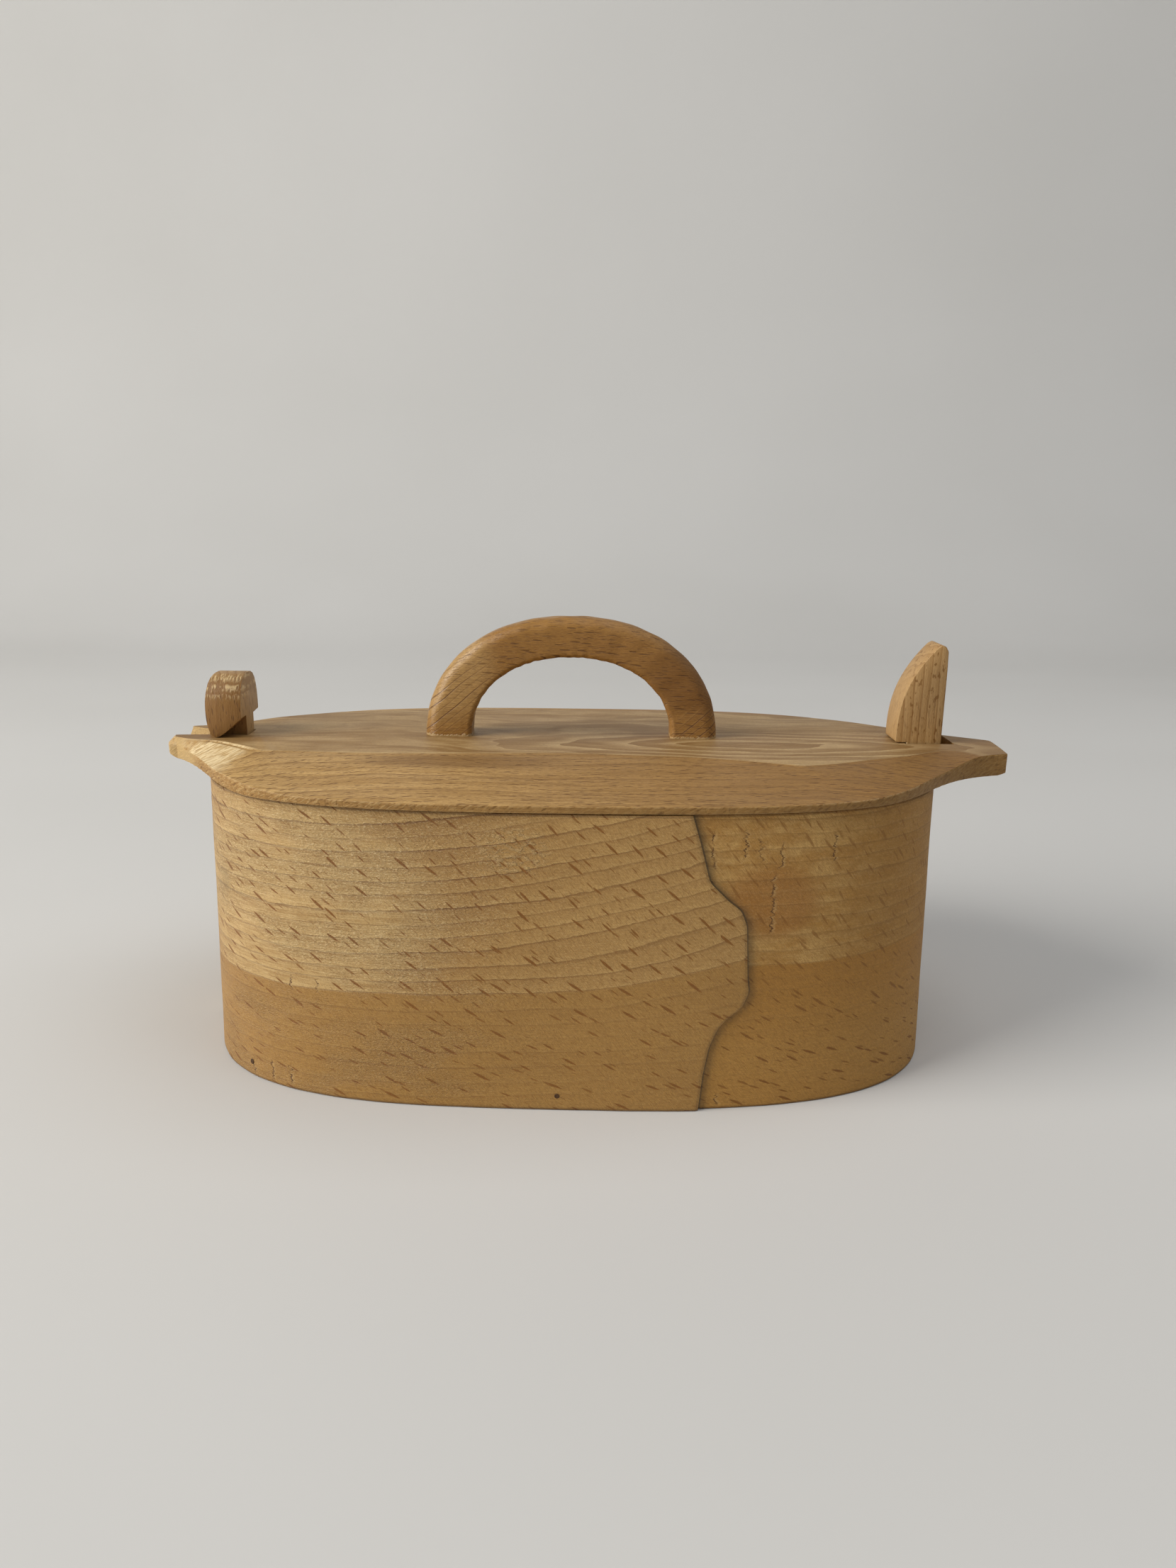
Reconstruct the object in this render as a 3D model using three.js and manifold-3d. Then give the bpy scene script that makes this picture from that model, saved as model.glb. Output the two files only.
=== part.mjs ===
// Bentwood box with a snap lid. Millimetres, +X right, +Y back, +Z up.
// The origin is the centre of the wall's footprint, on the surface the box stands on.
import * as THREE from "three";
import Module from "manifold-3d";
import { mergeVertices } from "three/addons/utils/BufferGeometryUtils.js";

const wasm = await Module();
wasm.setup();

// Driving dimensions
const GAP = 0.3; // running clearance between neighbouring pieces
const REST_GAP = 0.25; // between faces that rest on each other
const PEG_FIT = 0.02; // round pegs, tenons and wedges
const PIVOT_FIT = 0.25; // round the pegs in the springy post

// wall: a superellipse in plan, its ends leaning in slightly towards the rim
const WALL_HALF_LENGTH = 115.2;
const WALL_HALF_WIDTH = 73.3;
const WALL_EXPONENT = 3;
const WALL_HEIGHT = 88.9;
const WALL_THICKNESS = 3;
const WALL_END_LEAN = 1.2;
const WALL_EDGE_BREAK = 0.5;

// lap joint on the front: the outer layer's end is a rounded tongue
const LAP_STEP = 1.3;
const LAP_START_X = -32;
const LAP_NECK_X = 36;
const LAP_TONGUE_LENGTH = 12;
const LAP_TONGUE_LOW_Z = 28;
const LAP_TONGUE_HIGH_Z = 66;
const LAP_TONGUE_ROUND = 9;
const LAP_DRIFT = 3;

const BOTTOM_THICKNESS = 8;
const BOTTOM_FIT = 0.12;
const BOTTOM_EDGE_BREAK = 0.6;

// pegs that hold the bottom, and thicker ones that hold the posts
const PEG_RADIUS = 0.9;
const PEG_LENGTH = 15;
const PEG_HEIGHT = 4.5;
const PEG_PROUD = 0.2;
const PEG_ROUND = 0.25;
const POST_PEG_RADIUS = 1.6;
const POST_PEG_LENGTH = 19;
const POST_PEG_HEIGHT = 5;
const POST_PEG_SPACING = 7.4;
// degrees round the wall
const PEG_ANGLES = {
  front: 267.5,
  front_left: 209.5,
  front_right: 347,
  back: 90,
  back_left: 150,
  back_right: 30,
};

// lid: an oval board, flat on top within a wide bevel
const LID_UNDERSIDE = WALL_HEIGHT + REST_GAP;
const LID_THICKNESS = 6.9;
const LID_TOP = LID_UNDERSIDE + LID_THICKNESS;
const LID_EDGE = 2.4;
const LID_OVERHANG_END = 1.8;
const LID_OVERHANG_SIDE = 1.3;
const BEVEL_FRONT = 47;
const BEVEL_BACK = 29.1;

// right ear, round the latch post
const EAR_LENGTH = 20.2;
const EAR_FRONT = 22.4; // from the centre line
const EAR_BACK = 16;
const EAR_ROOT = 17.5; // from the oval's end, at the back
const EAR_ROOT_FRONT = 31.6;
const EAR_LIFT = 0.9; // the end's underside rounds up
const EAR_END_CROWN = 1.2;
const SLOT_PLAY = 0.5;
const SLOT_TRAVEL = 4.2; // room for the latch post to bend outwards

// left ear, a fork round the keeper post
const FORK_LENGTH = 13.8;
const FORK_HALF_WIDTH = 12.2;
const FORK_ROOT = 18; // from the oval's end, at the back
const FORK_ROOT_FRONT = 28.2;
const FORK_END_CROWN = 3.4;
const FORK_EDGE = 4;
const FORK_PLAY = 0.5;
const FORK_MOUTH_DEPTH = 11.3;
const FORK_MOUTH_FRONT = 5.8; // from the post's centre line
const FORK_MOUTH_BACK = 10.6;
const FORK_LIFT = 1.3; // the prongs' undersides round up at the tips

// both posts stand outside the end walls and reach in over the rim
const POST_FOOT_Z = 0.6;
const POST_SHOULDER_LOW = 12.9; // below the rim
const POST_SHOULDER_HIGH = 4.9;

// keeper post, left, with a T head
const KEEPER_Y = -2.2;
const KEEPER_SLAT_WIDTH = 14;
const KEEPER_SLAT_THICKNESS = 2.9;
const KEEPER_STEM_WIDTH = 8.2;
const KEEPER_HEAD_WIDTH = 20.4;
const KEEPER_HEAD_LENGTH = 11.3;
const KEEPER_HEAD_HEIGHT = 20.05;
const KEEPER_HEAD_SETBACK = 0.8;
const KEEPER_LIP = 2.7;
const KEEPER_RELIEF = 6.2;

// latch post, right, springy, with a hook and a fin-shaped head
const LATCH_Y = -1.1;
const LATCH_WIDTH = 13.4;
const LATCH_SLAT_THICKNESS = 2.6;
const LATCH_BULGE = 4.2;
const LATCH_STEM_DEPTH = 11.2;
const LATCH_HOOK = 3.7;
const LATCH_HEAD_HEIGHT = 31.95;
const LATCH_CREST = 3.2;

// handle: a bow that stands on the lid with a wedged tenon at each foot
const HANDLE_X = -0.9;
const HANDLE_Y = 0.1;
const HANDLE_OUTER_HALF = 47.7;
const HANDLE_INNER_HALF = 32.5;
const HANDLE_RISE = 39.1;
const HANDLE_INNER_RISE = 26;
const HANDLE_EXPONENT = 2.15;
const HANDLE_DEPTH = 11;
const HANDLE_OUTER_ROUND = 4.4;
const HANDLE_INNER_ROUND = 1.7;
const TENON_LENGTH = 9;
const TENON_WIDTH = 7;
const WEDGE_HEIGHT = 5.4;
const WEDGE_THICKNESS = 1.3;
const WEDGE_TIP = 0.3;

// Places that follow from them
const LID_HALF_LENGTH = WALL_HALF_LENGTH + LID_OVERHANG_END;
const LID_HALF_WIDTH = WALL_HALF_WIDTH + LID_OVERHANG_SIDE;
const EAR_END_X = LID_HALF_LENGTH + EAR_LENGTH;
const FORK_END_X = -(LID_HALF_LENGTH + FORK_LENGTH);
const SLAT_INNER_X = WALL_HALF_LENGTH + GAP;
const SHOULDER_LOW_Z = WALL_HEIGHT - POST_SHOULDER_LOW;
const SHOULDER_HIGH_Z = WALL_HEIGHT - POST_SHOULDER_HIGH;
const HEAD_FOOT_Z = LID_TOP + REST_GAP;
const KEEPER_SLAT_X = -(SLAT_INNER_X + KEEPER_SLAT_THICKNESS);
const KEEPER_OUTER_X = KEEPER_SLAT_X + KEEPER_HEAD_SETBACK;
const KEEPER_INNER_X = KEEPER_OUTER_X + KEEPER_HEAD_LENGTH;
const KEEPER_TOP = LID_TOP + KEEPER_HEAD_HEIGHT;
const LATCH_SLAT_X = SLAT_INNER_X + LATCH_SLAT_THICKNESS;
const LATCH_OUTER_X = WALL_HALF_LENGTH + LATCH_BULGE;
const LATCH_STEM_X = LATCH_OUTER_X - LATCH_STEM_DEPTH;
const LATCH_HOOK_X = LATCH_STEM_X - LATCH_HOOK;
const LATCH_TOP = LID_TOP + LATCH_HEAD_HEIGHT;
const FOOT_MIDDLE = (HANDLE_OUTER_HALF + HANDLE_INNER_HALF) / 2;
const TENON_XS = [HANDLE_X - FOOT_MIDDLE, HANDLE_X + FOOT_MIDDLE];

// Helpers
const V = (x, y, z) => new THREE.Vector3(x, y, z);
const rad = THREE.MathUtils.degToRad;
const lerp = THREE.MathUtils.lerp;
const smooth = THREE.MathUtils.smoothstep;

function geometryFrom(positions) {
  const g = new THREE.BufferGeometry();
  g.setAttribute("position", new THREE.Float32BufferAttribute(positions, 3));
  return g;
}

function toSolid(geometry) {
  let g = geometry.index ? geometry.toNonIndexed() : geometry;
  g.deleteAttribute("normal");
  g.deleteAttribute("uv");
  g = mergeVertices(g, 1e-4);
  const p = g.attributes.position.array;
  const index = Array.from(g.index.array);
  let volume = 0;
  const a = V();
  const b = V();
  const c = V();
  for (let i = 0; i < index.length; i += 3) {
    a.fromArray(p, 3 * index[i]);
    b.fromArray(p, 3 * index[i + 1]);
    c.fromArray(p, 3 * index[i + 2]);
    volume += a.dot(b.cross(c));
  }
  if (volume < 0) index.reverse();
  const mesh = new wasm.Mesh({
    numProp: 3,
    vertProperties: Float32Array.from(p),
    triVerts: Uint32Array.from(index),
  });
  return new wasm.Manifold(mesh);
}

function toGeometry(solid) {
  const m = solid.getMesh();
  const g = new THREE.BufferGeometry();
  g.setAttribute("position", new THREE.Float32BufferAttribute(Float32Array.from(m.vertProperties), 3));
  g.setIndex(Array.from(m.triVerts));
  const faceted = g.toNonIndexed();
  faceted.computeVertexNormals();
  return faceted;
}

// skin over a row of rings with the same number of points; open rows get flat ends
function skin(rings, closed = false) {
  const out = [];
  const push = (...points) => points.forEach((q) => out.push(q.x, q.y, q.z));
  const rows = closed ? rings.length : rings.length - 1;
  for (let i = 0; i < rows; i += 1) {
    const r = rings[i];
    const s = rings[(i + 1) % rings.length];
    for (let j = 0; j < r.length; j += 1) {
      const k = (j + 1) % r.length;
      push(r[j], s[j], s[k]);
      push(r[j], s[k], r[k]);
    }
  }
  if (!closed) {
    cap(rings[0], false, push);
    cap(rings[rings.length - 1], true, push);
  }
  return toSolid(geometryFrom(out));
}

function cap(ring, flip, push) {
  const normal = V(0, 0, 0);
  ring.forEach((p, i) => normal.add(p.clone().cross(ring[(i + 1) % ring.length])));
  normal.normalize();
  const u = Math.abs(normal.z) < 0.9 ? V(0, 0, 1).cross(normal).normalize() : V(1, 0, 0);
  const v = normal.clone().cross(u);
  const flatRing = ring.map((p) => new THREE.Vector2(p.dot(u), p.dot(v)));
  THREE.ShapeUtils.triangulateShape(flatRing, []).forEach(([a, b, c]) => {
    if (flip) push(ring[a], ring[c], ring[b]);
    else push(ring[a], ring[b], ring[c]);
  });
}

// solid between two grids of points, an upper one and a lower one
function plate(upper, lower) {
  const out = [];
  const push = (...points) => points.forEach((q) => out.push(q.x, q.y, q.z));
  const quad = (a, b, c, d) => {
    push(a, b, c);
    push(a, c, d);
  };
  const m = upper.length - 1;
  const n = upper[0].length - 1;
  for (let i = 0; i < m; i += 1) {
    for (let j = 0; j < n; j += 1) {
      quad(upper[i][j], upper[i + 1][j], upper[i + 1][j + 1], upper[i][j + 1]);
      quad(lower[i][j], lower[i][j + 1], lower[i + 1][j + 1], lower[i + 1][j]);
    }
  }
  for (let i = 0; i < m; i += 1) {
    quad(lower[i][0], lower[i + 1][0], upper[i + 1][0], upper[i][0]);
    quad(upper[i][n], upper[i + 1][n], lower[i + 1][n], lower[i][n]);
  }
  for (let j = 0; j < n; j += 1) {
    quad(upper[0][j], upper[0][j + 1], lower[0][j + 1], lower[0][j]);
    quad(lower[m][j], lower[m][j + 1], upper[m][j + 1], upper[m][j]);
  }
  return toSolid(geometryFrom(out));
}

// prism over an outline in the XZ plane, from y0 to y1
function prismY(points, y0, y1) {
  return skin([y0, y1].map((y) => points.map(([x, z]) => V(x, y, z))));
}

// prism over an outline in the YZ plane, from x0 to x1
function prismX(points, x0, x1) {
  return skin([x0, x1].map((x) => points.map(([y, z]) => V(x, y, z))));
}

// prism over an outline in the XY plane, from z0 to z1
function prismZ(points, z0, z1) {
  return skin([z0, z1].map((z) => points.map(([x, y]) => V(x, y, z))));
}

function box(x0, x1, y0, y1, z0, z1) {
  return prismZ([[x0, y0], [x1, y0], [x1, y1], [x0, y1]], z0, z1);
}

const flat = ([x, y]) => new THREE.Vector2(x, y);

function curve(points, divisions) {
  return new THREE.SplineCurve(points.map(flat)).getPoints(divisions).map((p) => [p.x, p.y]);
}

// a point on a superellipse, at a true angle from its centre
function superPoint(angle, a, b, n) {
  const r = (Math.abs(Math.cos(angle) / a) ** n + Math.abs(Math.sin(angle) / b) ** n) ** (-1 / n);
  return [r * Math.cos(angle), r * Math.sin(angle)];
}

// a rod along a direction, with its ends slightly rounded over
function rod(centre, direction, radius, length) {
  const profile = [
    [0, 0],
    [radius - PEG_ROUND, 0],
    [radius, PEG_ROUND],
    [radius, length - PEG_ROUND],
    [radius - PEG_ROUND, length],
    [0, length],
  ].map(([r, y]) => new THREE.Vector2(r, y));
  const g = new THREE.LatheGeometry(profile, 20);
  const turn = new THREE.Quaternion().setFromUnitVectors(V(0, 1, 0), direction.clone().normalize());
  g.applyQuaternion(turn);
  g.translate(centre.x, centre.y, centre.z);
  return toSolid(g);
}

// Wall
// a point of the wall's outer face at a height, moved out by an offset
function wallPoint(angle, z, offset) {
  const a = WALL_HALF_LENGTH - (WALL_END_LEAN * z) / WALL_HEIGHT;
  const b = WALL_HALF_WIDTH;
  const n = WALL_EXPONENT;
  const [x, y] = superPoint(angle, a, b, n);
  const normal = V(
    (Math.sign(x) * Math.abs(x / a) ** (n - 1)) / a,
    (Math.sign(y) * Math.abs(y / b) ** (n - 1)) / b,
    0,
  ).normalize();
  return V(x, y, z).addScaledVector(normal, offset);
}

const WALL_STEPS = 168;

function wallRing(z0, z1, inner, outer, edgeBreak) {
  const rings = [];
  for (let i = 0; i < WALL_STEPS; i += 1) {
    const t = (2 * Math.PI * i) / WALL_STEPS;
    rings.push([
      wallPoint(t, z0, outer - edgeBreak),
      wallPoint(t, z0 + edgeBreak, outer),
      wallPoint(t, z1 - edgeBreak, outer),
      wallPoint(t, z1, outer - edgeBreak),
      wallPoint(t, z1, inner + edgeBreak),
      wallPoint(t, z1 - edgeBreak, inner),
      wallPoint(t, z0 + edgeBreak, inner),
      wallPoint(t, z0, inner + edgeBreak),
    ]);
  }
  return skin(rings, true);
}

// angle of the front wall at a given x
function frontAngle(x) {
  const share = Math.abs(x / WALL_HALF_LENGTH) ** WALL_EXPONENT;
  return Math.atan2(-WALL_HALF_WIDTH * (1 - share) ** (1 / WALL_EXPONENT), x);
}

// where the outer layer ends: a tongue between two necks
function lapEndX(z) {
  const r = LAP_TONGUE_ROUND;
  const low = smooth(z, LAP_TONGUE_LOW_Z - r, LAP_TONGUE_LOW_Z + r);
  const high = 1 - smooth(z, LAP_TONGUE_HIGH_Z - r, LAP_TONGUE_HIGH_Z + r);
  const drift = LAP_DRIFT * Math.sin((Math.PI * z) / WALL_HEIGHT);
  return LAP_NECK_X + LAP_TONGUE_LENGTH * Math.min(low, high) + drift;
}

// height of the outer layer over the plain wall: it thins out to nothing at its scarfed start
function lapRise(share) {
  return lerp(-0.2, LAP_STEP, Math.min(1, share * 1.04));
}

function lapTongue() {
  const levels = 26;
  const columns = 14;
  const zs = Array.from({ length: levels + 1 }, (_, j) => {
    return lerp(WALL_EDGE_BREAK, WALL_HEIGHT - WALL_EDGE_BREAK, j / levels);
  });
  const upper = [];
  const lower = [];
  for (let i = 0; i <= columns; i += 1) {
    const share = i / columns;
    const at = (z, offset) => wallPoint(frontAngle(lerp(LAP_START_X, lapEndX(z), share)), z, offset);
    upper.push(zs.map((z) => at(z, lapRise(share))));
    lower.push(zs.map((z) => at(z, -0.3 * WALL_THICKNESS)));
  }
  return plate(upper, lower);
}

// Bottom board, inside the wall's foot
function bottomBoard() {
  const steps = 120;
  const soft = BOTTOM_EDGE_BREAK;
  const profile = [[0, soft], [soft, 0], [BOTTOM_THICKNESS - soft, 0], [BOTTOM_THICKNESS, soft]];
  return skin(
    profile.map(([z, inset]) => {
      return Array.from({ length: steps }, (_, i) => {
        return wallPoint((2 * Math.PI * i) / steps, z, -WALL_THICKNESS - BOTTOM_FIT - inset);
      });
    }),
  );
}

// Pegs
function bottomPeg(degrees, grow) {
  const foot = wallPoint(rad(degrees), PEG_HEIGHT, 0);
  const out = wallPoint(rad(degrees), PEG_HEIGHT, 1).sub(foot);
  const share = (foot.x - LAP_START_X) / (lapEndX(PEG_HEIGHT) - LAP_START_X);
  const layer = foot.y < 0 && share > 0 && share < 1 ? Math.max(0, lapRise(share)) : 0;
  const head = foot.addScaledVector(out, layer + PEG_PROUD + grow);
  return rod(head, out.negate(), PEG_RADIUS + grow, PEG_LENGTH + 2 * grow);
}

function postPeg(outerX, y, grow) {
  const side = Math.sign(outerX);
  const head = V(outerX + side * (PEG_PROUD + grow), y, POST_PEG_HEIGHT);
  return rod(head, V(-side, 0, 0), POST_PEG_RADIUS + grow, POST_PEG_LENGTH + 2 * grow);
}

const pegYs = (centre) => [centre - POST_PEG_SPACING / 2, centre + POST_PEG_SPACING / 2];

// Keeper post
function keeperPost() {
  const slatHalf = KEEPER_SLAT_WIDTH / 2;
  const stemHalf = KEEPER_STEM_WIDTH / 2;
  const half = KEEPER_HEAD_WIDTH / 2;
  // slat outside the wall, narrowing to the stem below the lid
  const slat = prismX(
    [
      [-slatHalf, POST_FOOT_Z],
      [slatHalf, POST_FOOT_Z],
      [slatHalf, SHOULDER_LOW_Z],
      [stemHalf, SHOULDER_HIGH_Z],
      [stemHalf, LID_UNDERSIDE + 3],
      [-stemHalf, LID_UNDERSIDE + 3],
      [-stemHalf, SHOULDER_HIGH_Z],
      [-slatHalf, SHOULDER_LOW_Z],
    ].map(([y, z]) => [y + KEEPER_Y, z]),
    KEEPER_SLAT_X,
    -SLAT_INNER_X,
  );
  // stem over the rim and through the fork, into the head
  const stemTop = HEAD_FOOT_Z + KEEPER_RELIEF + 3.5;
  const stem = prismY(
    [
      [KEEPER_INNER_X, LID_UNDERSIDE],
      [KEEPER_INNER_X, stemTop],
      [KEEPER_OUTER_X + 0.1, stemTop],
      [KEEPER_SLAT_X, stemTop - 5],
      [KEEPER_SLAT_X, LID_UNDERSIDE - 2],
      [-SLAT_INNER_X, LID_UNDERSIDE - 2],
      [-SLAT_INNER_X, LID_UNDERSIDE],
    ],
    KEEPER_Y - stemHalf,
    KEEPER_Y + stemHalf,
  );
  // T head: a dome seen from the end, cut to a bowed back and a relieved underside
  const arch = Array.from({ length: 33 }, (_, i) => {
    const [y, z] = superPoint((Math.PI * i) / 32, half, KEEPER_HEAD_HEIGHT - 4, 2.9);
    return [KEEPER_Y + y, LID_TOP + 4 + z];
  });
  const dome = prismX(
    [[KEEPER_Y + half, LID_UNDERSIDE], ...arch, [KEEPER_Y - half, LID_UNDERSIDE]],
    KEEPER_OUTER_X - 1,
    KEEPER_INNER_X,
  );
  const lip = KEEPER_OUTER_X + KEEPER_LIP;
  const relief = KEEPER_INNER_X - lip;
  const back = curve(
    [
      [lip + 0.3, KEEPER_TOP + 1.9],
      [lip - 1.5, KEEPER_TOP - 0.8],
      [KEEPER_OUTER_X + 0.4, KEEPER_TOP - 4.1],
      [KEEPER_OUTER_X, lerp(HEAD_FOOT_Z, KEEPER_TOP, 0.54)],
      [KEEPER_OUTER_X + 0.3, lerp(HEAD_FOOT_Z, KEEPER_TOP, 0.24)],
      [lip - 1.4, HEAD_FOOT_Z + 1.3],
      [lip, HEAD_FOOT_Z],
    ],
    18,
  );
  const under = curve(
    [
      [lip, HEAD_FOOT_Z],
      [lip + 0.17 * relief, HEAD_FOOT_Z + 0.05 * KEEPER_RELIEF],
      [lip + 0.43 * relief, HEAD_FOOT_Z + 0.29 * KEEPER_RELIEF],
      [KEEPER_INNER_X, HEAD_FOOT_Z + KEEPER_RELIEF],
    ],
    10,
  );
  const block = prismY(
    [...back, ...under.slice(1), [KEEPER_INNER_X, KEEPER_TOP + 1.9]],
    KEEPER_Y - half - 1,
    KEEPER_Y + half + 1,
  );
  return slat.add(stem).add(dome.intersect(block));
}

// Latch post
function latchPost() {
  const crestX = LATCH_OUTER_X - LATCH_CREST;
  const crestZ = LATCH_TOP - 0.7;
  const noseZ = HEAD_FOOT_Z + 0.6;
  // the head's inner face sweeps out from the hook to the crest
  const face = Array.from({ length: 17 }, (_, i) => {
    const share = i / 16;
    return [lerp(LATCH_HOOK_X, crestX, share ** 2.5), lerp(noseZ, crestZ, share)];
  });
  const outline = [
    [SLAT_INNER_X, POST_FOOT_Z],
    [SLAT_INNER_X, LID_UNDERSIDE],
    [LATCH_STEM_X, LID_UNDERSIDE],
    [LATCH_STEM_X, HEAD_FOOT_Z],
    [LATCH_HOOK_X + 0.3, HEAD_FOOT_Z],
    ...face,
    [LATCH_OUTER_X - 2, LATCH_TOP],
    [LATCH_OUTER_X - 0.8, LATCH_TOP - 0.4],
    [LATCH_OUTER_X + 0.1, LATCH_TOP - 2],
    [LATCH_OUTER_X + 0.2, LATCH_TOP - 8],
    [LATCH_OUTER_X, LID_TOP],
    [LATCH_OUTER_X - 0.4, LID_UNDERSIDE + 0.9],
    [LATCH_SLAT_X + 0.2, SHOULDER_HIGH_Z - 1],
    [LATCH_SLAT_X, SHOULDER_LOW_Z],
    [LATCH_SLAT_X, POST_FOOT_Z],
  ];
  return prismY(outline, LATCH_Y - LATCH_WIDTH / 2, LATCH_Y + LATCH_WIDTH / 2);
}

// Lid
// the oval's distance from the centre line at a given x
function ovalY(x) {
  return LID_HALF_WIDTH * (1 - Math.abs(x / LID_HALF_LENGTH) ** WALL_EXPONENT) ** (1 / WALL_EXPONENT);
}

// the oval's slope at a given x, across over along
function ovalSlope(x) {
  const share = Math.abs(x / LID_HALF_LENGTH);
  const rest = 1 - share ** WALL_EXPONENT;
  return (LID_HALF_WIDTH / LID_HALF_LENGTH) * share ** (WALL_EXPONENT - 1) * rest ** (1 / WALL_EXPONENT - 1);
}

// the front edge's thickness at a given x
function frontEdge(x) {
  const knots = [
    [FORK_END_X + 3.4, FORK_EDGE], [FORK_END_X + 12.2, 3.6], [FORK_END_X + 21.8, 3.4],
    [FORK_END_X + 29.8, 4], [FORK_END_X + 36.8, 3.6], [FORK_END_X + 45.4, 2.6],
    [FORK_END_X + 52, LID_EDGE], [EAR_END_X - 54, LID_EDGE], [EAR_END_X - 39.4, 3.1],
    [EAR_END_X - 25.4, 3.9], [EAR_END_X - 20.8, 4.4], [EAR_END_X - 11.7, LID_THICKNESS - 0.2],
    [EAR_END_X - 6.6, LID_THICKNESS],
  ];
  const next = knots.findIndex(([knotX]) => knotX > x);
  if (next < 0) return LID_THICKNESS;
  if (next === 0) return FORK_EDGE;
  const [x0, t0] = knots[next - 1];
  const [x1, t1] = knots[next];
  return lerp(t0, t1, (x - x0) / (x1 - x0));
}

// the oval's front from one x to another, as [x, y, edge thickness]
function ovalFront(x0, x1, thickness) {
  const steps = 34;
  const start = Math.atan2(-ovalY(x0), x0);
  const end = Math.atan2(-ovalY(x1), x1);
  return Array.from({ length: steps + 1 }, (_, i) => {
    const [x, y] = superPoint(lerp(start, end, i / steps), LID_HALF_LENGTH, LID_HALF_WIDTH, WALL_EXPONENT);
    return [x, y, thickness(x)];
  });
}

// the side of an ear from the oval to its tip: slopes are across over along, and a pull is
// the length of the stretch that a slope holds
function earSide(rootX, rootSlope, rootPull, tip, tipSlope, tipPull, thickness) {
  const way = Math.sign(tip[0] - rootX);
  const root = [rootX, ovalY(rootX)];
  const line = new THREE.CubicBezierCurve(
    flat(root),
    flat([rootX + way * rootPull, root[1] - rootPull * rootSlope]),
    flat([tip[0] - way * tipPull, tip[1] + tipPull * tipSlope]),
    flat(tip),
  );
  const steps = 12;
  return line.getPoints(steps).map((p, i) => [p.x, p.y, thickness(p.x, i / steps)]);
}

const mirrored = (points) => points.map(([x, y, ...rest]) => [x, -y, ...rest]);
const reversed = (points) => points.slice().reverse();

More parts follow.
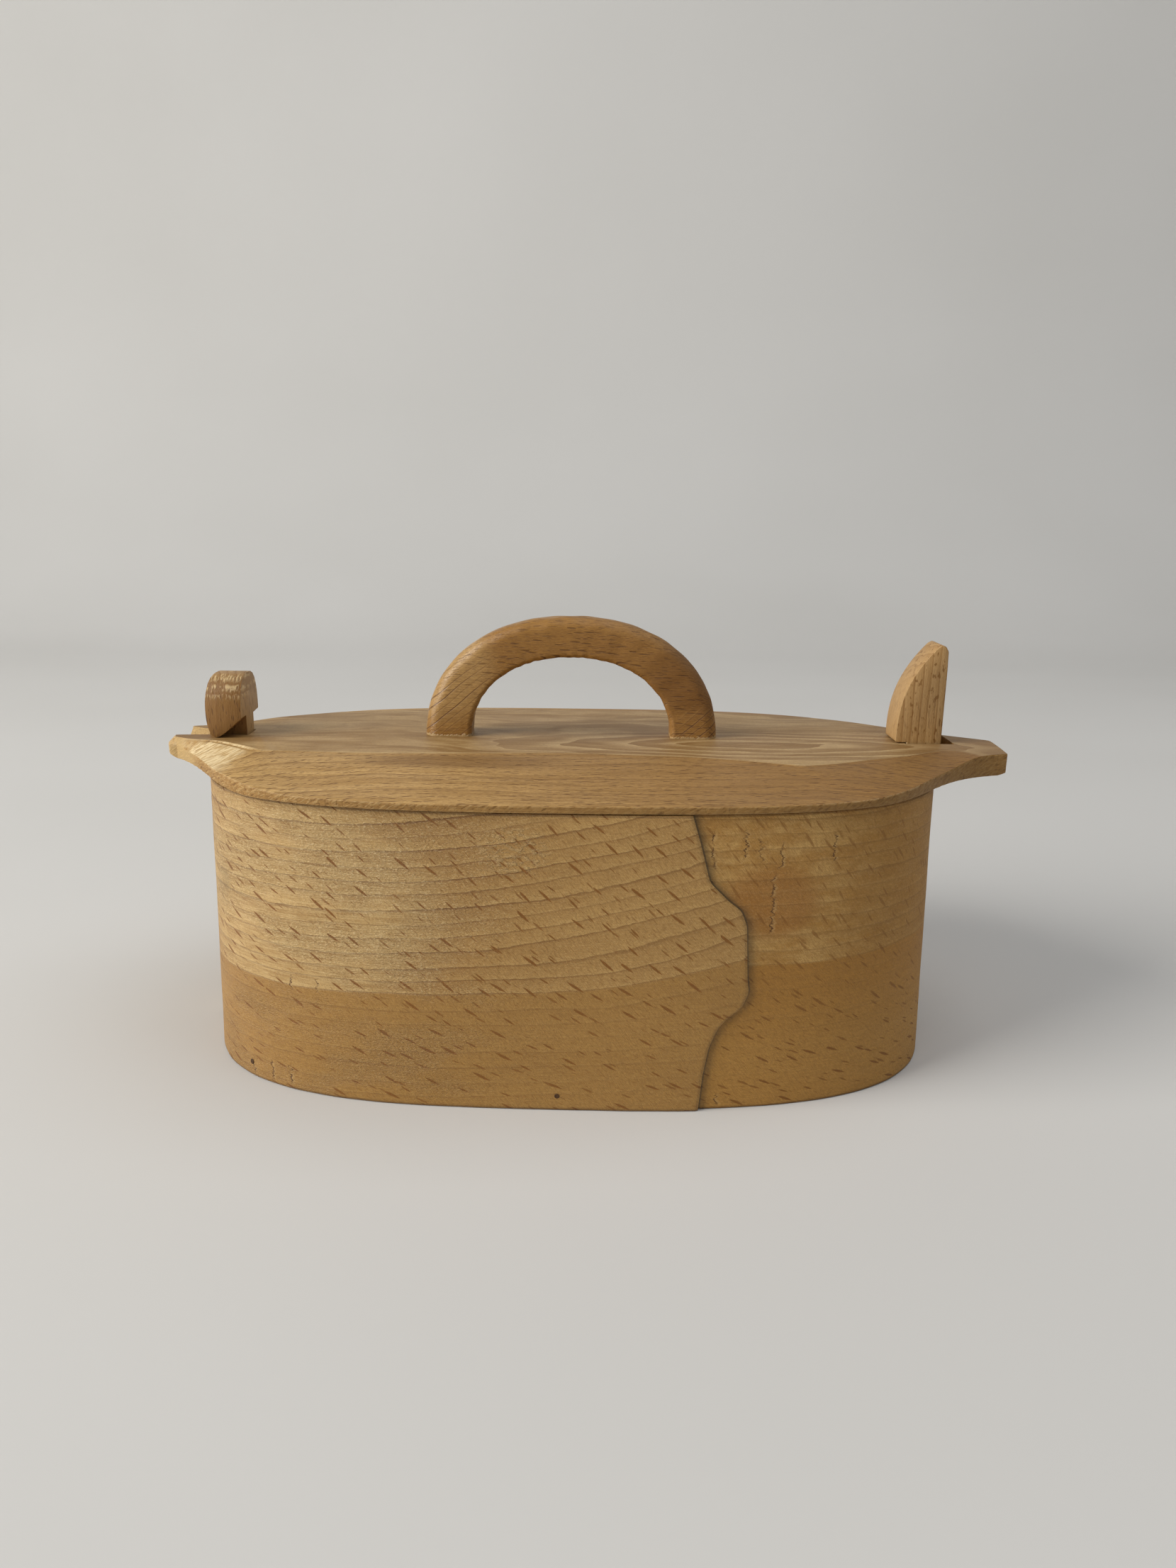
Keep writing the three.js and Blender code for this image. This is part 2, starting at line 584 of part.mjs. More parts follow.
// the lid's edge in stretches, anticlockwise from the fork's front prong, each with the
// stretch of the ridge that its bevel rises to
function lidStretches() {
  const earRootX = LID_HALF_LENGTH - EAR_ROOT;
  const forkRootX = FORK_ROOT - LID_HALF_LENGTH;
  const earRootFrontX = LID_HALF_LENGTH - EAR_ROOT_FRONT;
  const forkRootFrontX = FORK_ROOT_FRONT - LID_HALF_LENGTH;
  const full = LID_THICKNESS;
  const thinEnd = LID_EDGE + 1.2;
  const earFront = earSide(
    earRootFrontX, ovalSlope(earRootFrontX), 20.7, [EAR_END_X - 1.2, EAR_FRONT], 0.22, 26.2, frontEdge,
  );
  const earBack = earSide(
    earRootX, 1.25, 12, [EAR_END_X - 0.8, EAR_BACK], 0.45, 12, (x, s) => lerp(LID_EDGE, thinEnd, s ** 2),
  );
  const forkTipX = FORK_END_X + FORK_END_CROWN;
  const forkFront = earSide(
    forkRootFrontX, ovalSlope(forkRootFrontX), 15.9, [forkTipX, FORK_HALF_WIDTH], 1, 15.9, frontEdge,
  );
  const forkBack = earSide(
    forkRootX, 1.85, 9, [forkTipX, FORK_HALF_WIDTH - 2.5], 1.2, 9,
    (x, s) => lerp(LID_EDGE, FORK_EDGE, smooth(s, 0, 0.9)),
  );
  const crease = 6; // the step of the fork's front side where the bevel turns
  const frontY = BEVEL_FRONT - LID_HALF_WIDTH;
  const backY = LID_HALF_WIDTH - BEVEL_BACK;
  const creaseTop = [21.8 - LID_HALF_LENGTH, frontY - 1.6];
  const shoulder = [LID_HALF_LENGTH - 49, frontY - 13.9];
  const frontRidge = [
    [0, -1.6], [0.1, -1.7], [0.22, -2.7], [0.36, -1.6], [0.51, 0], [0.62, 0], [0.72, -1.4],
    [0.82, -3.6], [0.91, -8.4], [1, -13.9],
  ].map(([share, dy]) => [lerp(creaseTop[0], shoulder[0], share), frontY + dy]);
  const tip = [FORK_END_X + 2.6, 1.4 - FORK_HALF_WIDTH];
  const backTip = [FORK_END_X + 3, FORK_HALF_WIDTH - 4.9];
  const earCorner = [EAR_END_X - 2.4, 9.4 - EAR_FRONT];
  const earBackCorner = [EAR_END_X - 1, -1];
  const backHalf = LID_HALF_LENGTH - 33;
  const backRidge = Array.from({ length: 9 }, (_, i) => {
    const share = lerp(1, -1, i / 8);
    return [backHalf * share, backY - 9.2 * Math.abs(share) ** 2.6];
  });
  return [
    {
      edge: mirrored(reversed(forkFront.slice(crease))),
      ridge: [tip, [FORK_END_X + 9, -14.2], [FORK_END_X + 17, -15.8], [FORK_END_X + 25, -20.8], creaseTop],
    },
    {
      edge: [
        ...mirrored(reversed(forkFront.slice(1, crease + 1))),
        ...ovalFront(forkRootFrontX, earRootFrontX, frontEdge),
      ],
      ridge: frontRidge,
    },
    {
      edge: mirrored(earFront),
      ridge: [
        shoulder, [EAR_END_X - 58, -37.8], [EAR_END_X - 47, -32.2], [EAR_END_X - 35, -26.5],
        [EAR_END_X - 17, -15.8], earCorner,
      ],
    },
    {
      edge: Array.from({ length: 7 }, (_, i) => {
        const y = lerp(-EAR_FRONT, EAR_BACK, i / 6);
        const bow = EAR_END_CROWN * ((y - 2) / (EAR_FRONT + 2)) ** 2;
        return [EAR_END_X - bow, y, lerp(full, thinEnd, smooth(y, -4, EAR_BACK + 2))];
      }),
      ridge: [earCorner, [EAR_END_X - 1.1, -6], earBackCorner],
    },
    {
      edge: reversed(earBack),
      ridge: [
        earBackCorner, [EAR_END_X - 13, 6.6], [EAR_END_X - 21, 12], [EAR_END_X - 39, 27.7], backRidge[0],
      ],
    },
    { edge: mirrored(reversed(ovalFront(forkRootX, earRootX, () => LID_EDGE))), ridge: backRidge },
    {
      edge: forkBack,
      ridge: [
        backRidge[8], [forkRootX - 3.5, 25.5], [forkRootX - 13, 16], [forkRootX - 22, 9.8], backTip,
      ],
    },
    {
      edge: [
        [forkTipX, FORK_HALF_WIDTH - 2.5, FORK_EDGE],
        [FORK_END_X + 0.8, FORK_HALF_WIDTH - 5.8, FORK_EDGE],
        [FORK_END_X + 0.2, FORK_HALF_WIDTH - 9, FORK_EDGE + 0.6],
        [FORK_END_X, -2.5, FORK_EDGE + 1.1],
        [FORK_END_X, 4 - FORK_HALF_WIDTH, FORK_EDGE + 1.1],
        [FORK_END_X + 0.6, 0.8 - FORK_HALF_WIDTH, FORK_EDGE + 0.6],
        [forkTipX, -FORK_HALF_WIDTH, FORK_EDGE],
      ],
      ridge: [backTip, [FORK_END_X + 0.8, -2.4], tip],
    },
  ];
}

// points of a spline at the same shares of its length as an edge's points have
function alongside(edge, control) {
  const line = new THREE.SplineCurve(control.map(flat));
  const runs = [0];
  for (let i = 1; i < edge.length; i += 1) {
    runs.push(runs[i - 1] + Math.hypot(edge[i][0] - edge[i - 1][0], edge[i][1] - edge[i - 1][1]));
  }
  return runs.map((run) => line.getPointAt(Math.min(1, run / runs[runs.length - 1])));
}

// everything that the fork takes off the board, seen from above
function forkOpening() {
  const throat = KEEPER_STEM_WIDTH / 2 + FORK_PLAY;
  const throatX = FORK_END_X + FORK_MOUTH_DEPTH;
  const endX = KEEPER_INNER_X + FORK_PLAY;
  const side = (wide) => {
    return [1.15, 0.9, 0.65, 0.4, 0.2, 0].map((share) => {
      return [lerp(throatX, FORK_END_X, share), throat + (wide - throat) * share ** 1.4];
    });
  };
  return [
    ...mirrored(side(FORK_MOUTH_FRONT)),
    [endX, -throat],
    [endX, throat],
    ...reversed(side(FORK_MOUTH_BACK)),
  ].map(([x, y]) => [x, y + KEEPER_Y]);
}

function lidBoard() {
  const outline = [];
  const field = [];
  for (const { edge, ridge } of lidStretches()) {
    const tops = alongside(edge, ridge);
    edge.slice(0, -1).forEach((point, i) => {
      outline.push(point);
      field.push(V(tops[i].x, tops[i].y, LID_TOP));
    });
  }
  const liftStart = -(FORK_END_X + FORK_END_CROWN);
  const lift = (x) => {
    return FORK_LIFT * smooth(-x, liftStart, -FORK_END_X) + EAR_LIFT * smooth(x, EAR_END_X - 4, EAR_END_X);
  };
  const low = outline.map(([x, y]) => V(x, y, LID_UNDERSIDE + lift(x)));
  const high = outline.map(([x, y, thickness]) => V(x, y, LID_UNDERSIDE + thickness));
  const inside = outline.map(([x, y]) => V(x, y, LID_UNDERSIDE).multiply(V(x < -100 ? 0.86 : 0.97, 0.97, 1)));
  const cutLow = LID_UNDERSIDE - 5;
  const cutHigh = LID_TOP + 5;
  const slotHalf = LATCH_WIDTH / 2 + SLOT_PLAY;
  let lid = skin([inside, low, high, field]);
  lid = lid.subtract(prismZ(forkOpening(), cutLow, cutHigh));
  lid = lid.subtract(
    box(
      LATCH_STEM_X - SLOT_PLAY, LATCH_OUTER_X + SLOT_TRAVEL,
      LATCH_Y - slotHalf, LATCH_Y + slotHalf, cutLow, cutHigh,
    ),
  );
  // mortises for the handle's tenons
  for (const x of TENON_XS) {
    lid = lid.subtract(tenon(x, PEG_FIT, cutLow, cutHigh));
  }
  return lid;
}

// Handle
function tenon(x, grow, z0, z1) {
  const length = TENON_LENGTH / 2 + grow;
  const width = TENON_WIDTH / 2 + grow;
  return box(x - length, x + length, HANDLE_Y - width, HANDLE_Y + width, z0, z1);
}

// section of the bow from its inner face outwards, rounded more on the outside
function bowSection(deep) {
  const h = HANDLE_DEPTH / 2;
  const section = [];
  const corner = (s, y, r, from, count) => {
    for (let k = 0; k <= count; k += 1) {
      const a = rad(from + (90 * k) / count);
      section.push([s + r * Math.cos(a), y + r * Math.sin(a)]);
    }
  };
  const outer = HANDLE_OUTER_ROUND;
  const inner = HANDLE_INNER_ROUND;
  corner(deep - outer, h - outer, outer, 0, 5);
  corner(inner, h - inner, inner, 90, 3);
  corner(inner, -h + inner, inner, 180, 3);
  corner(deep - outer, -h + outer, outer, 270, 5);
  return section;
}

function handle() {
  const base = LID_TOP + PEG_FIT;
  const steps = 40;
  const rings = Array.from({ length: steps + 1 }, (_, i) => {
    const t = Math.PI * (1 - i / steps);
    const [ox, oz] = superPoint(t, HANDLE_OUTER_HALF, HANDLE_RISE, HANDLE_EXPONENT);
    const [ix, iz] = superPoint(t, HANDLE_INNER_HALF, HANDLE_INNER_RISE, HANDLE_EXPONENT);
    const deep = Math.hypot(ox - ix, oz - iz);
    const dx = (ox - ix) / deep;
    const dz = (oz - iz) / deep;
    return bowSection(deep).map(([s, y]) => V(HANDLE_X + ix + dx * s, HANDLE_Y + y, base + iz + dz * s));
  });
  let solid = skin(rings);
  for (const x of TENON_XS) {
    solid = solid.add(tenon(x, 0, LID_UNDERSIDE, base + 3));
    solid = solid.subtract(wedge(x, PEG_FIT));
  }
  return solid;
}

// wedge driven into a tenon from below, or its slit where it is grown
function wedge(x, grow) {
  const low = LID_UNDERSIDE - 5 * grow;
  const high = LID_UNDERSIDE + WEDGE_HEIGHT + grow;
  const wide = WEDGE_THICKNESS / 2 + grow;
  const thin = WEDGE_TIP / 2 + grow;
  const across = TENON_WIDTH / 2 + 20 * grow;
  return prismY(
    [[x - wide, low], [x + wide, low], [x + thin, high], [x - thin, high]],
    HANDLE_Y - across,
    HANDLE_Y + across,
  );
}

// Assembly
const beech = {
  wall: { color: 0xb98f58, roughness: 0.62 },
  lid: { color: 0xc09a68, roughness: 0.6 },
  dark: { color: 0xa8763f, roughness: 0.55 },
  peg: { color: 0x9a7040, roughness: 0.7 },
};
const root = new THREE.Group();
root.name = "bentwood_box";

function addNode(name, solid, look) {
  const material = new THREE.MeshStandardMaterial({ ...look, metalness: 0 });
  const mesh = new THREE.Mesh(toGeometry(solid), material);
  mesh.name = name;
  root.add(mesh);
}

let wall = wallRing(0, WALL_HEIGHT, -WALL_THICKNESS, 0, WALL_EDGE_BREAK).add(lapTongue());
let bottom = bottomBoard();
let keeper = keeperPost();
let latch = latchPost();
for (const degrees of Object.values(PEG_ANGLES)) {
  wall = wall.subtract(bottomPeg(degrees, PEG_FIT));
  bottom = bottom.subtract(bottomPeg(degrees, PEG_FIT));
}
for (const y of pegYs(KEEPER_Y)) {
  const hole = postPeg(KEEPER_SLAT_X, y, PEG_FIT);
  wall = wall.subtract(hole);
  bottom = bottom.subtract(hole);
  keeper = keeper.subtract(hole);
}
for (const y of pegYs(LATCH_Y)) {
  const hole = postPeg(LATCH_SLAT_X, y, PEG_FIT);
  wall = wall.subtract(hole);
  bottom = bottom.subtract(hole);
  latch = latch.subtract(postPeg(LATCH_SLAT_X, y, PIVOT_FIT));
}

addNode("wall_strip", wall, beech.wall);
addNode("bottom_board", bottom, beech.lid);
for (const [place, degrees] of Object.entries(PEG_ANGLES)) {
  addNode(`bottom_peg_${place}`, bottomPeg(degrees, 0), beech.peg);
}
addNode("keeper_post", keeper, beech.wall);
addNode("latch_post", latch, beech.wall);
["front", "back"].forEach((place, i) => {
  addNode(`keeper_peg_${place}`, postPeg(KEEPER_SLAT_X, pegYs(KEEPER_Y)[i], 0), beech.peg);
  addNode(`latch_peg_${place}`, postPeg(LATCH_SLAT_X, pegYs(LATCH_Y)[i], 0), beech.peg);
});
addNode("lid_board", lidBoard(), beech.lid);
addNode("handle", handle(), beech.dark);
["left", "right"].forEach((place, i) => {
  addNode(`handle_wedge_${place}`, wedge(TENON_XS[i], 0), beech.peg);
});

export default root;
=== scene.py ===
"""Looks of a bentwood box with a snap lid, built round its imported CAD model.

Sizes are written in millimetres and turned into metres where a mesh is made.
+X is right along the length, +Y is back, +Z is up.
"""

import math
from functools import partial, partialmethod

import bmesh
import bpy
import numpy as np
from mathutils import Matrix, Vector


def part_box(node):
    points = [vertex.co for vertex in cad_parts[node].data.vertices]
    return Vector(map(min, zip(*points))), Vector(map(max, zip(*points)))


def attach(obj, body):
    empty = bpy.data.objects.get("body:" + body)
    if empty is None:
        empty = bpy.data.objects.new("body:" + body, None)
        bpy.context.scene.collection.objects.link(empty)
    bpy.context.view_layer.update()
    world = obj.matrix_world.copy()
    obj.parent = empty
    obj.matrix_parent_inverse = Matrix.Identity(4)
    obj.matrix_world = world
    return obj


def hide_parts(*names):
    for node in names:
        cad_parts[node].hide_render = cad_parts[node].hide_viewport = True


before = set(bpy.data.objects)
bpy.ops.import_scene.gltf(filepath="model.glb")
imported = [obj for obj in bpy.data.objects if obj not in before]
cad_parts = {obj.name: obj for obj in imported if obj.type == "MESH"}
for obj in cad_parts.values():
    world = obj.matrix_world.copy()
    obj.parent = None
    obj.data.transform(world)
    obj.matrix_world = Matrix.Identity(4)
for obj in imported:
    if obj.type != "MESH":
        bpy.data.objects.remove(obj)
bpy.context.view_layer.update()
random = np.random.default_rng(17)

MM = 0.001


def corners(node):
    """Lowest and highest corner of a CAD node in millimetres."""
    return [np.array(corner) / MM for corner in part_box(node)]


# Sizes from the frame
wall_high = corners("wall_strip")[1]
lid_low, lid_high = corners("lid_board")
keeper_low, keeper_high = corners("keeper_post")
latch_low, latch_high = corners("latch_post")
handle_low, handle_high = corners("handle")

WALL_HALF_X = wall_high[0]
WALL_HALF_Y = wall_high[1]
WALL_HEIGHT = wall_high[2]
LID_BASE = lid_low[2]
LID_TOP = lid_high[2]
LID_THICKNESS = LID_TOP - LID_BASE
LID_HALF_Y = lid_high[1]
FORK_END = lid_low[0]
EAR_END = lid_high[0]
KEEPER_Y = (keeper_low[1] + keeper_high[1]) / 2
KEEPER_HEAD_HALF = keeper_high[1] - KEEPER_Y
KEEPER_TOP = keeper_high[2]
KEEPER_INNER = keeper_high[0]
KEEPER_SLAT = keeper_low[0]
LATCH_Y = (latch_low[1] + latch_high[1]) / 2
LATCH_HALF = latch_high[1] - LATCH_Y
LATCH_TOP = latch_high[2]
LATCH_HOOK = latch_low[0]
LATCH_OUTER = latch_high[0] - 0.2
HANDLE_X = (handle_low[0] + handle_high[0]) / 2
HANDLE_Y = (handle_low[1] + handle_high[1]) / 2
HANDLE_OUTER_HALF = handle_high[0] - HANDLE_X
HANDLE_DEPTH = handle_high[1] - handle_low[1]

# Sizes that no box gives, as in the CAD model
WALL_POWER = 3.0
WALL_THICKNESS = 3.0
WALL_END_LEAN = 1.2
LAP_STEP = 1.3
LAP_START = -32.0
LID_HALF_X = WALL_HALF_X + 1.8
LID_EDGE = 2.2
BEVEL_FRONT = 47.0
BEVEL_BACK = 29.1
EAR_FRONT = 22.4
EAR_BACK = 16.0
EAR_CROWN = 1.2
EAR_LIFT = 0.9
EAR_ROOT = LID_HALF_X - 17.5
EAR_ROOT_FRONT = LID_HALF_X - 31.6
PLAY = 0.5
SLOT_TRAVEL = 4.2
FORK_HALF_Y = 12.2
FORK_EDGE = 4.0
FORK_CROWN = 3.4
FORK_LIFT = 1.3
FORK_ROOT = 18 - LID_HALF_X
FORK_ROOT_FRONT = 28.2 - LID_HALF_X
MOUTH_DEPTH = 11.3
MOUTH_FRONT = 5.8
MOUTH_BACK = 10.6
SLAT_INNER = WALL_HALF_X + 0.3
SHOULDER_LOW = WALL_HEIGHT - 12.9
SHOULDER_HIGH = WALL_HEIGHT - 4.9
POST_FOOT = 0.6
HEAD_FOOT = LID_TOP + 0.25
KEEPER_STEM_HALF = 4.1
KEEPER_SLAT_HALF = 7.0
KEEPER_LIP = 2.7
KEEPER_RELIEF = 6.2
LATCH_STEM = LATCH_OUTER - 11.2
LATCH_SLAT = SLAT_INNER + 2.6
LATCH_CREST = 3.2
HANDLE_OUTER_ROUND = 4.4
HANDLE_INNER_ROUND = 1.7
HANDLE_INNER_HALF = 32.5
HANDLE_INNER_RISE = 26.0
HANDLE_POWER = 2.15
TENON_LENGTH = 9.0
TENON_WIDTH = 7.0
TENON_XS = [HANDLE_X + side * (HANDLE_OUTER_HALF + HANDLE_INNER_HALF) / 2 for side in (-1, 1)]
FIT = 0.02


# Small helpers
def smoothstep(x, low, high):
    t = np.clip((x - low) / (high - low), 0, 1)
    return t * t * (3 - 2 * t)


def lerp(a, b, t):
    return a + (b - a) * t


class Waves:
    """A smooth seeded field of x and y, from about -1 to 1, made of a few slanted waves."""

    def __init__(self, length_x, length_y):
        count = 9
        spread = random.uniform(0.6, 1.5, (2, count))
        sign = random.choice([-1, 1], count)
        self.kx = 2 * math.pi / length_x * spread[0] * sign
        self.ky = 2 * math.pi / length_y * spread[1]
        self.phase = random.uniform(0, 2 * math.pi, count)
        self.share = 1.6 / count

    def __call__(self, x, y):
        x, y = (np.asarray(along, float)[..., None] for along in (x, y))
        return np.sin(self.kx * x + self.ky * y + self.phase).sum(-1) * self.share


def path_run(line):
    """How far along a polyline each of its points lies."""
    return np.concatenate([[0], np.cumsum(np.linalg.norm(np.diff(line, axis=0), axis=1))])


def points_at(line, run, at):
    """Points of a polyline, whose own points lie at run, at other distances."""
    return np.stack([np.interp(at, run, column) for column in line.T], 1)


def spline(points, count):
    """Evenly spaced points on a Catmull-Rom curve through points."""
    p = np.asarray(points, float)
    p = np.concatenate([2 * p[:1] - p[1:2], p, 2 * p[-1:] - p[-2:-1]])
    t = np.linspace(0, 1, 24, endpoint=False)[:, None]
    rows = []
    for a, b, c, d in zip(p, p[1:], p[2:], p[3:]):
        cubic = (2 * a - 5 * b + 4 * c - d) * t**2 + (3 * b - a - 3 * c + d) * t**3
        rows.append(0.5 * (2 * b + (c - a) * t + cubic))
    line = np.concatenate(rows + [p[-2:-1]])
    run = path_run(line)
    return points_at(line, run, np.linspace(0, run[-1], count))


def super_point(angle, a, b, n):
    """A point of a superellipse at a true angle from its centre."""
    r = (np.abs(np.cos(angle) / a) ** n + np.abs(np.sin(angle) / b) ** n) ** (-1 / n)
    return r * np.cos(angle), r * np.sin(angle)


def link(name, data):
    """A new object in the scene."""
    made = bpy.data.objects.new(name, data)
    bpy.context.scene.collection.objects.link(made)
    return made


def mesh_from(name, points, faces):
    mesh = bpy.data.meshes.new(name)
    mesh.from_pydata((np.asarray(points) * MM).tolist(), [], faces)
    mesh.update()
    return mesh


def grid_faces(rows, columns, closed_rows=False, closed_columns=False):
    """Quads over a grid of points, numbered row by row."""
    i = np.arange(rows if closed_rows else rows - 1)
    j = np.arange(columns if closed_columns else columns - 1)
    a, b = np.meshgrid(i, j, indexing="ij")
    c, d = (a + 1) % rows, (b + 1) % columns
    quads = np.stack([a * columns + b, a * columns + d, c * columns + d, c * columns + b], -1)
    return quads.reshape(-1, 4).tolist()


def place(name, mesh, slot, body, replaced, sharp=35):
    """Links a mesh as a piece that rides on a body and stands for a CAD node."""
    mesh.materials.append(MATERIALS[slot])
    mesh.shade_smooth()
    mesh.set_sharp_from_angle(angle=math.radians(sharp))
    piece = link(name, mesh)
    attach(piece, body)
    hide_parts(replaced)


def outward(mesh):
    """Turns all faces of a closed mesh outward."""
    made = bmesh.new()
    made.from_mesh(mesh)
    bmesh.ops.recalc_face_normals(made, faces=made.faces)
    made.to_mesh(mesh)
    made.free()
    return mesh


def skin(name, rings):
    """A closed mesh through rings of points, with a cap at each end."""
    count = len(rings[0])
    faces = grid_faces(len(rings), count, closed_columns=True)
    faces.append(list(range(count)))
    faces.append(list(range((len(rings) - 1) * count, len(rings) * count)))
    return outward(mesh_from(name, np.concatenate(rings), faces))


def prism(name, outline, axis, low, high):
    """A closed prism over an outline. axis is the letter it runs along."""
    ring = np.asarray(outline, float)
    order = {"x": (2, 0, 1), "y": (0, 2, 1), "z": (0, 1, 2)}[axis]
    return skin(name, [np.column_stack([ring, np.full(len(ring), level)])[:, order] for level in (low, high)])


def modified(mesh, kind, **settings):
    """A new mesh: the old one with a modifier applied."""
    work = link("work", mesh)
    modifier = work.modifiers.new("work", kind)
    for key, value in settings.items():
        setattr(modifier, key, value)
    bpy.context.view_layer.update()
    graph = bpy.context.evaluated_depsgraph_get()
    made = bpy.data.meshes.new_from_object(work.evaluated_get(graph))
    bpy.data.objects.remove(work)
    return made


def combine(mesh, other, operation):
    """The boolean of two meshes, as a new mesh."""
    tool = link("tool", other)
    made = modified(mesh, "BOOLEAN", operation=operation, solver="EXACT", object=tool)
    bpy.data.objects.remove(tool)
    return made


def soften(mesh, width):
    """Rounds the sharp edges of a mesh."""
    limit = {"limit_method": "ANGLE", "angle_limit": math.radians(28), "use_clamp_overlap": True}
    return modified(mesh, "BEVEL", width=width * MM, segments=2, **limit)


# Materials
class Shader:
    """A material built node by node. Lengths in its formulas are millimetres."""

    def __init__(self, name):
        self.material = bpy.data.materials.new(name)
        self.material.use_nodes = True
        self.tree = self.material.node_tree
        self.tree.nodes.clear()

    def put(self, socket, value):
        if isinstance(value, bpy.types.NodeSocket):
            self.tree.links.new(value, socket)
        else:
            socket.default_value = value

    def node(self, kind, inputs, **settings):
        made = self.tree.nodes.new("ShaderNode" + kind)
        for key, value in settings.items():
            setattr(made, key, value)
        for key, value in inputs.items():
            self.put(made.inputs[key], value)
        return made

    def math(self, operation, first, *others):
        """first, combined with each of the others in turn."""
        for other in others or (0,):
            first = self.node("Math", {0: first, 1: other}, operation=operation).outputs[0]
        return first

    add = partialmethod(math, "ADD")
    minus = partialmethod(math, "SUBTRACT")
    times = partialmethod(math, "MULTIPLY")
    over = partialmethod(math, "DIVIDE")
    most = partialmethod(math, "MAXIMUM")
    size = partialmethod(math, "ABSOLUTE")

    def total(self, *rows):
        """The sum of the products of rows."""
        return self.add(*[self.times(*row) for row in rows])

    def spread(self, x, low, high, to_low=0, to_high=1, kind="LINEAR"):
        """to_low at low and below, to_high at high and above."""
        inputs = {"Value": x, "From Min": low, "From Max": high, "To Min": to_low, "To Max": to_high}
        return self.node("MapRange", inputs, interpolation_type=kind).outputs[0]

    ramp = partialmethod(spread, kind="SMOOTHSTEP")

    def span(self, share, low, high):
        """low where share is 0, high where it is 1."""
        return self.spread(share, 0, 1, low, high)

    def vector(self, operation, a, b):
        return self.node("VectorMath", {0: a, 1: b}, operation=operation).outputs[0]

    def scaled(self, vector, lengths, shift=(0, 0, 0)):
        """vector in units of the given lengths, moved by shift."""
        inverse = tuple(1 / length for length in lengths)
        return self.node("VectorMath", {0: vector, 1: inverse, 2: shift}, operation="MULTIPLY_ADD").outputs[0]

    def turned(self, vector, angle, axis="Z_AXIS"):
        return self.node("VectorRotate", {"Vector": vector, "Angle": angle}, rotation_type=axis).outputs[0]

    def split(self, vector):
        return self.node("SeparateXYZ", {0: vector}).outputs[0:3]

    def join(self, x, y, z=0):
        return self.node("CombineXYZ", {0: x, 1: y, 2: z}).outputs[0]

    def noise(self, vector, lengths, detail, rough, seed):
        """Noise from 0 to 1 with the given feature lengths."""
        at = self.scaled(vector, lengths, (seed, seed * 1.7, seed * 2.3))
        inputs = {"Vector": at, "Scale": 1, "Detail": detail, "Roughness": rough}
        return self.node("TexNoise", inputs).outputs["Fac"]

    def wood(self, vector, cloud, fibre, grit):
        """Three noises of wood, each with the given feature lengths."""
        return (
            self.noise(vector, cloud, 3, 0.5, 8),
            self.noise(vector, fibre, 3, 0.65, 4),
            self.noise(vector, grit, 2, 0.6, 6),
        )

    def mix(self, factor, a, b):
        made = self.node("Mix", {0: factor}, data_type="RGBA")
        for key, value in ((6, a), (7, b)):
            self.put(made.inputs[key], (*value, 1) if isinstance(value, tuple) else value)
        return made.outputs[2]

    def coat(self, colour, *layers):
        """Layers, each of some masks and a colour, laid over a colour in turn."""
        for first, *others, tint in layers:
            mask = self.times(first, *others) if others else first
            colour = self.mix(mask, colour, tint)
        return colour

    def normal(self):
        return self.split(self.node("TexCoord", {}).outputs["Normal"])

    def object_mm(self):
        return self.scaled(self.node("TexCoord", {}).outputs["Object"], (MM, MM, MM))

    def unrolled_mm(self):
        """Along the bent strip and up, from the mesh's own map."""
        return self.scaled(self.node("UVMap", {}, uv_map="unrolled").outputs[0], (MM, MM, MM))

    def fleck(self, at, angle, scatter, cell, length, width, share, seed):
        """Ray flecks from 0 to 1: at most one slanted lens in each irregular cell."""
        spot = self.scaled(at, (cell, cell, cell), (seed, seed * 0.61, 0))
        cells = self.node("TexVoronoi", {"Vector": spot, "Scale": 1}, voronoi_dimensions="2D")
        local = self.vector("SUBTRACT", spot, cells.outputs["Position"])
        local = self.vector("MULTIPLY", local, (cell, cell, 0))
        chance, size, lean = self.split(cells.outputs["Color"])
        turn = self.add(angle, self.span(lean, -scatter, scatter))
        x, y, _ = self.split(self.turned(local, turn))
        grow = self.span(size, 0.55, 1.2)
        along = self.over(self.over(x, length / 2), grow)
        across = self.over(self.size(y), self.times(grow, width / 2))
        lens = self.ramp(self.add(self.times(along, along), across), 1.25, 0.6)
        return self.times(lens, self.math("LESS_THAN", chance, share))

    def flecks(self, at, angle, scatter, *sizes):
        """Ray flecks of several sizes, each given as a row that ends with its strength."""
        return self.most(*[self.times(self.fleck(at, angle, scatter, *row), last) for *row, last in sizes])

    def rings(self, level, spacing):
        """Growth rings: 1 just past a ring's line, falling to 0 at the next, and a random value for each."""
        turn = self.over(level, spacing)
        whole = self.math("FLOOR", turn)
        own = self.node("TexWhiteNoise", {"W": whole}, noise_dimensions="1D").outputs["Value"]
        return self.minus(1, self.math("FRACT", turn)), own

    def patch(self, u, z, at_u, at_z, half_u, half_z):
        """A soft oval spot from 1 in its middle to 0."""
        across = self.over(self.minus(u, at_u), half_u)
        up = self.over(self.minus(z, at_z), half_z)
        far = self.add(self.times(across, across), self.times(up, up))
        return self.ramp(far, 1.2, 0.3)

    def crack(self, u, z, wander, low, high, at, width):
        """A fine crooked line that runs up the strip at one place."""
        off = self.size(self.add(self.minus(u, at), wander))
        line = self.ramp(off, width * 1.8, width * 0.5)
        ends = self.times(self.ramp(z, low - 1, low + 1), self.ramp(z, high + 1, high - 1))
        return self.times(line, ends)

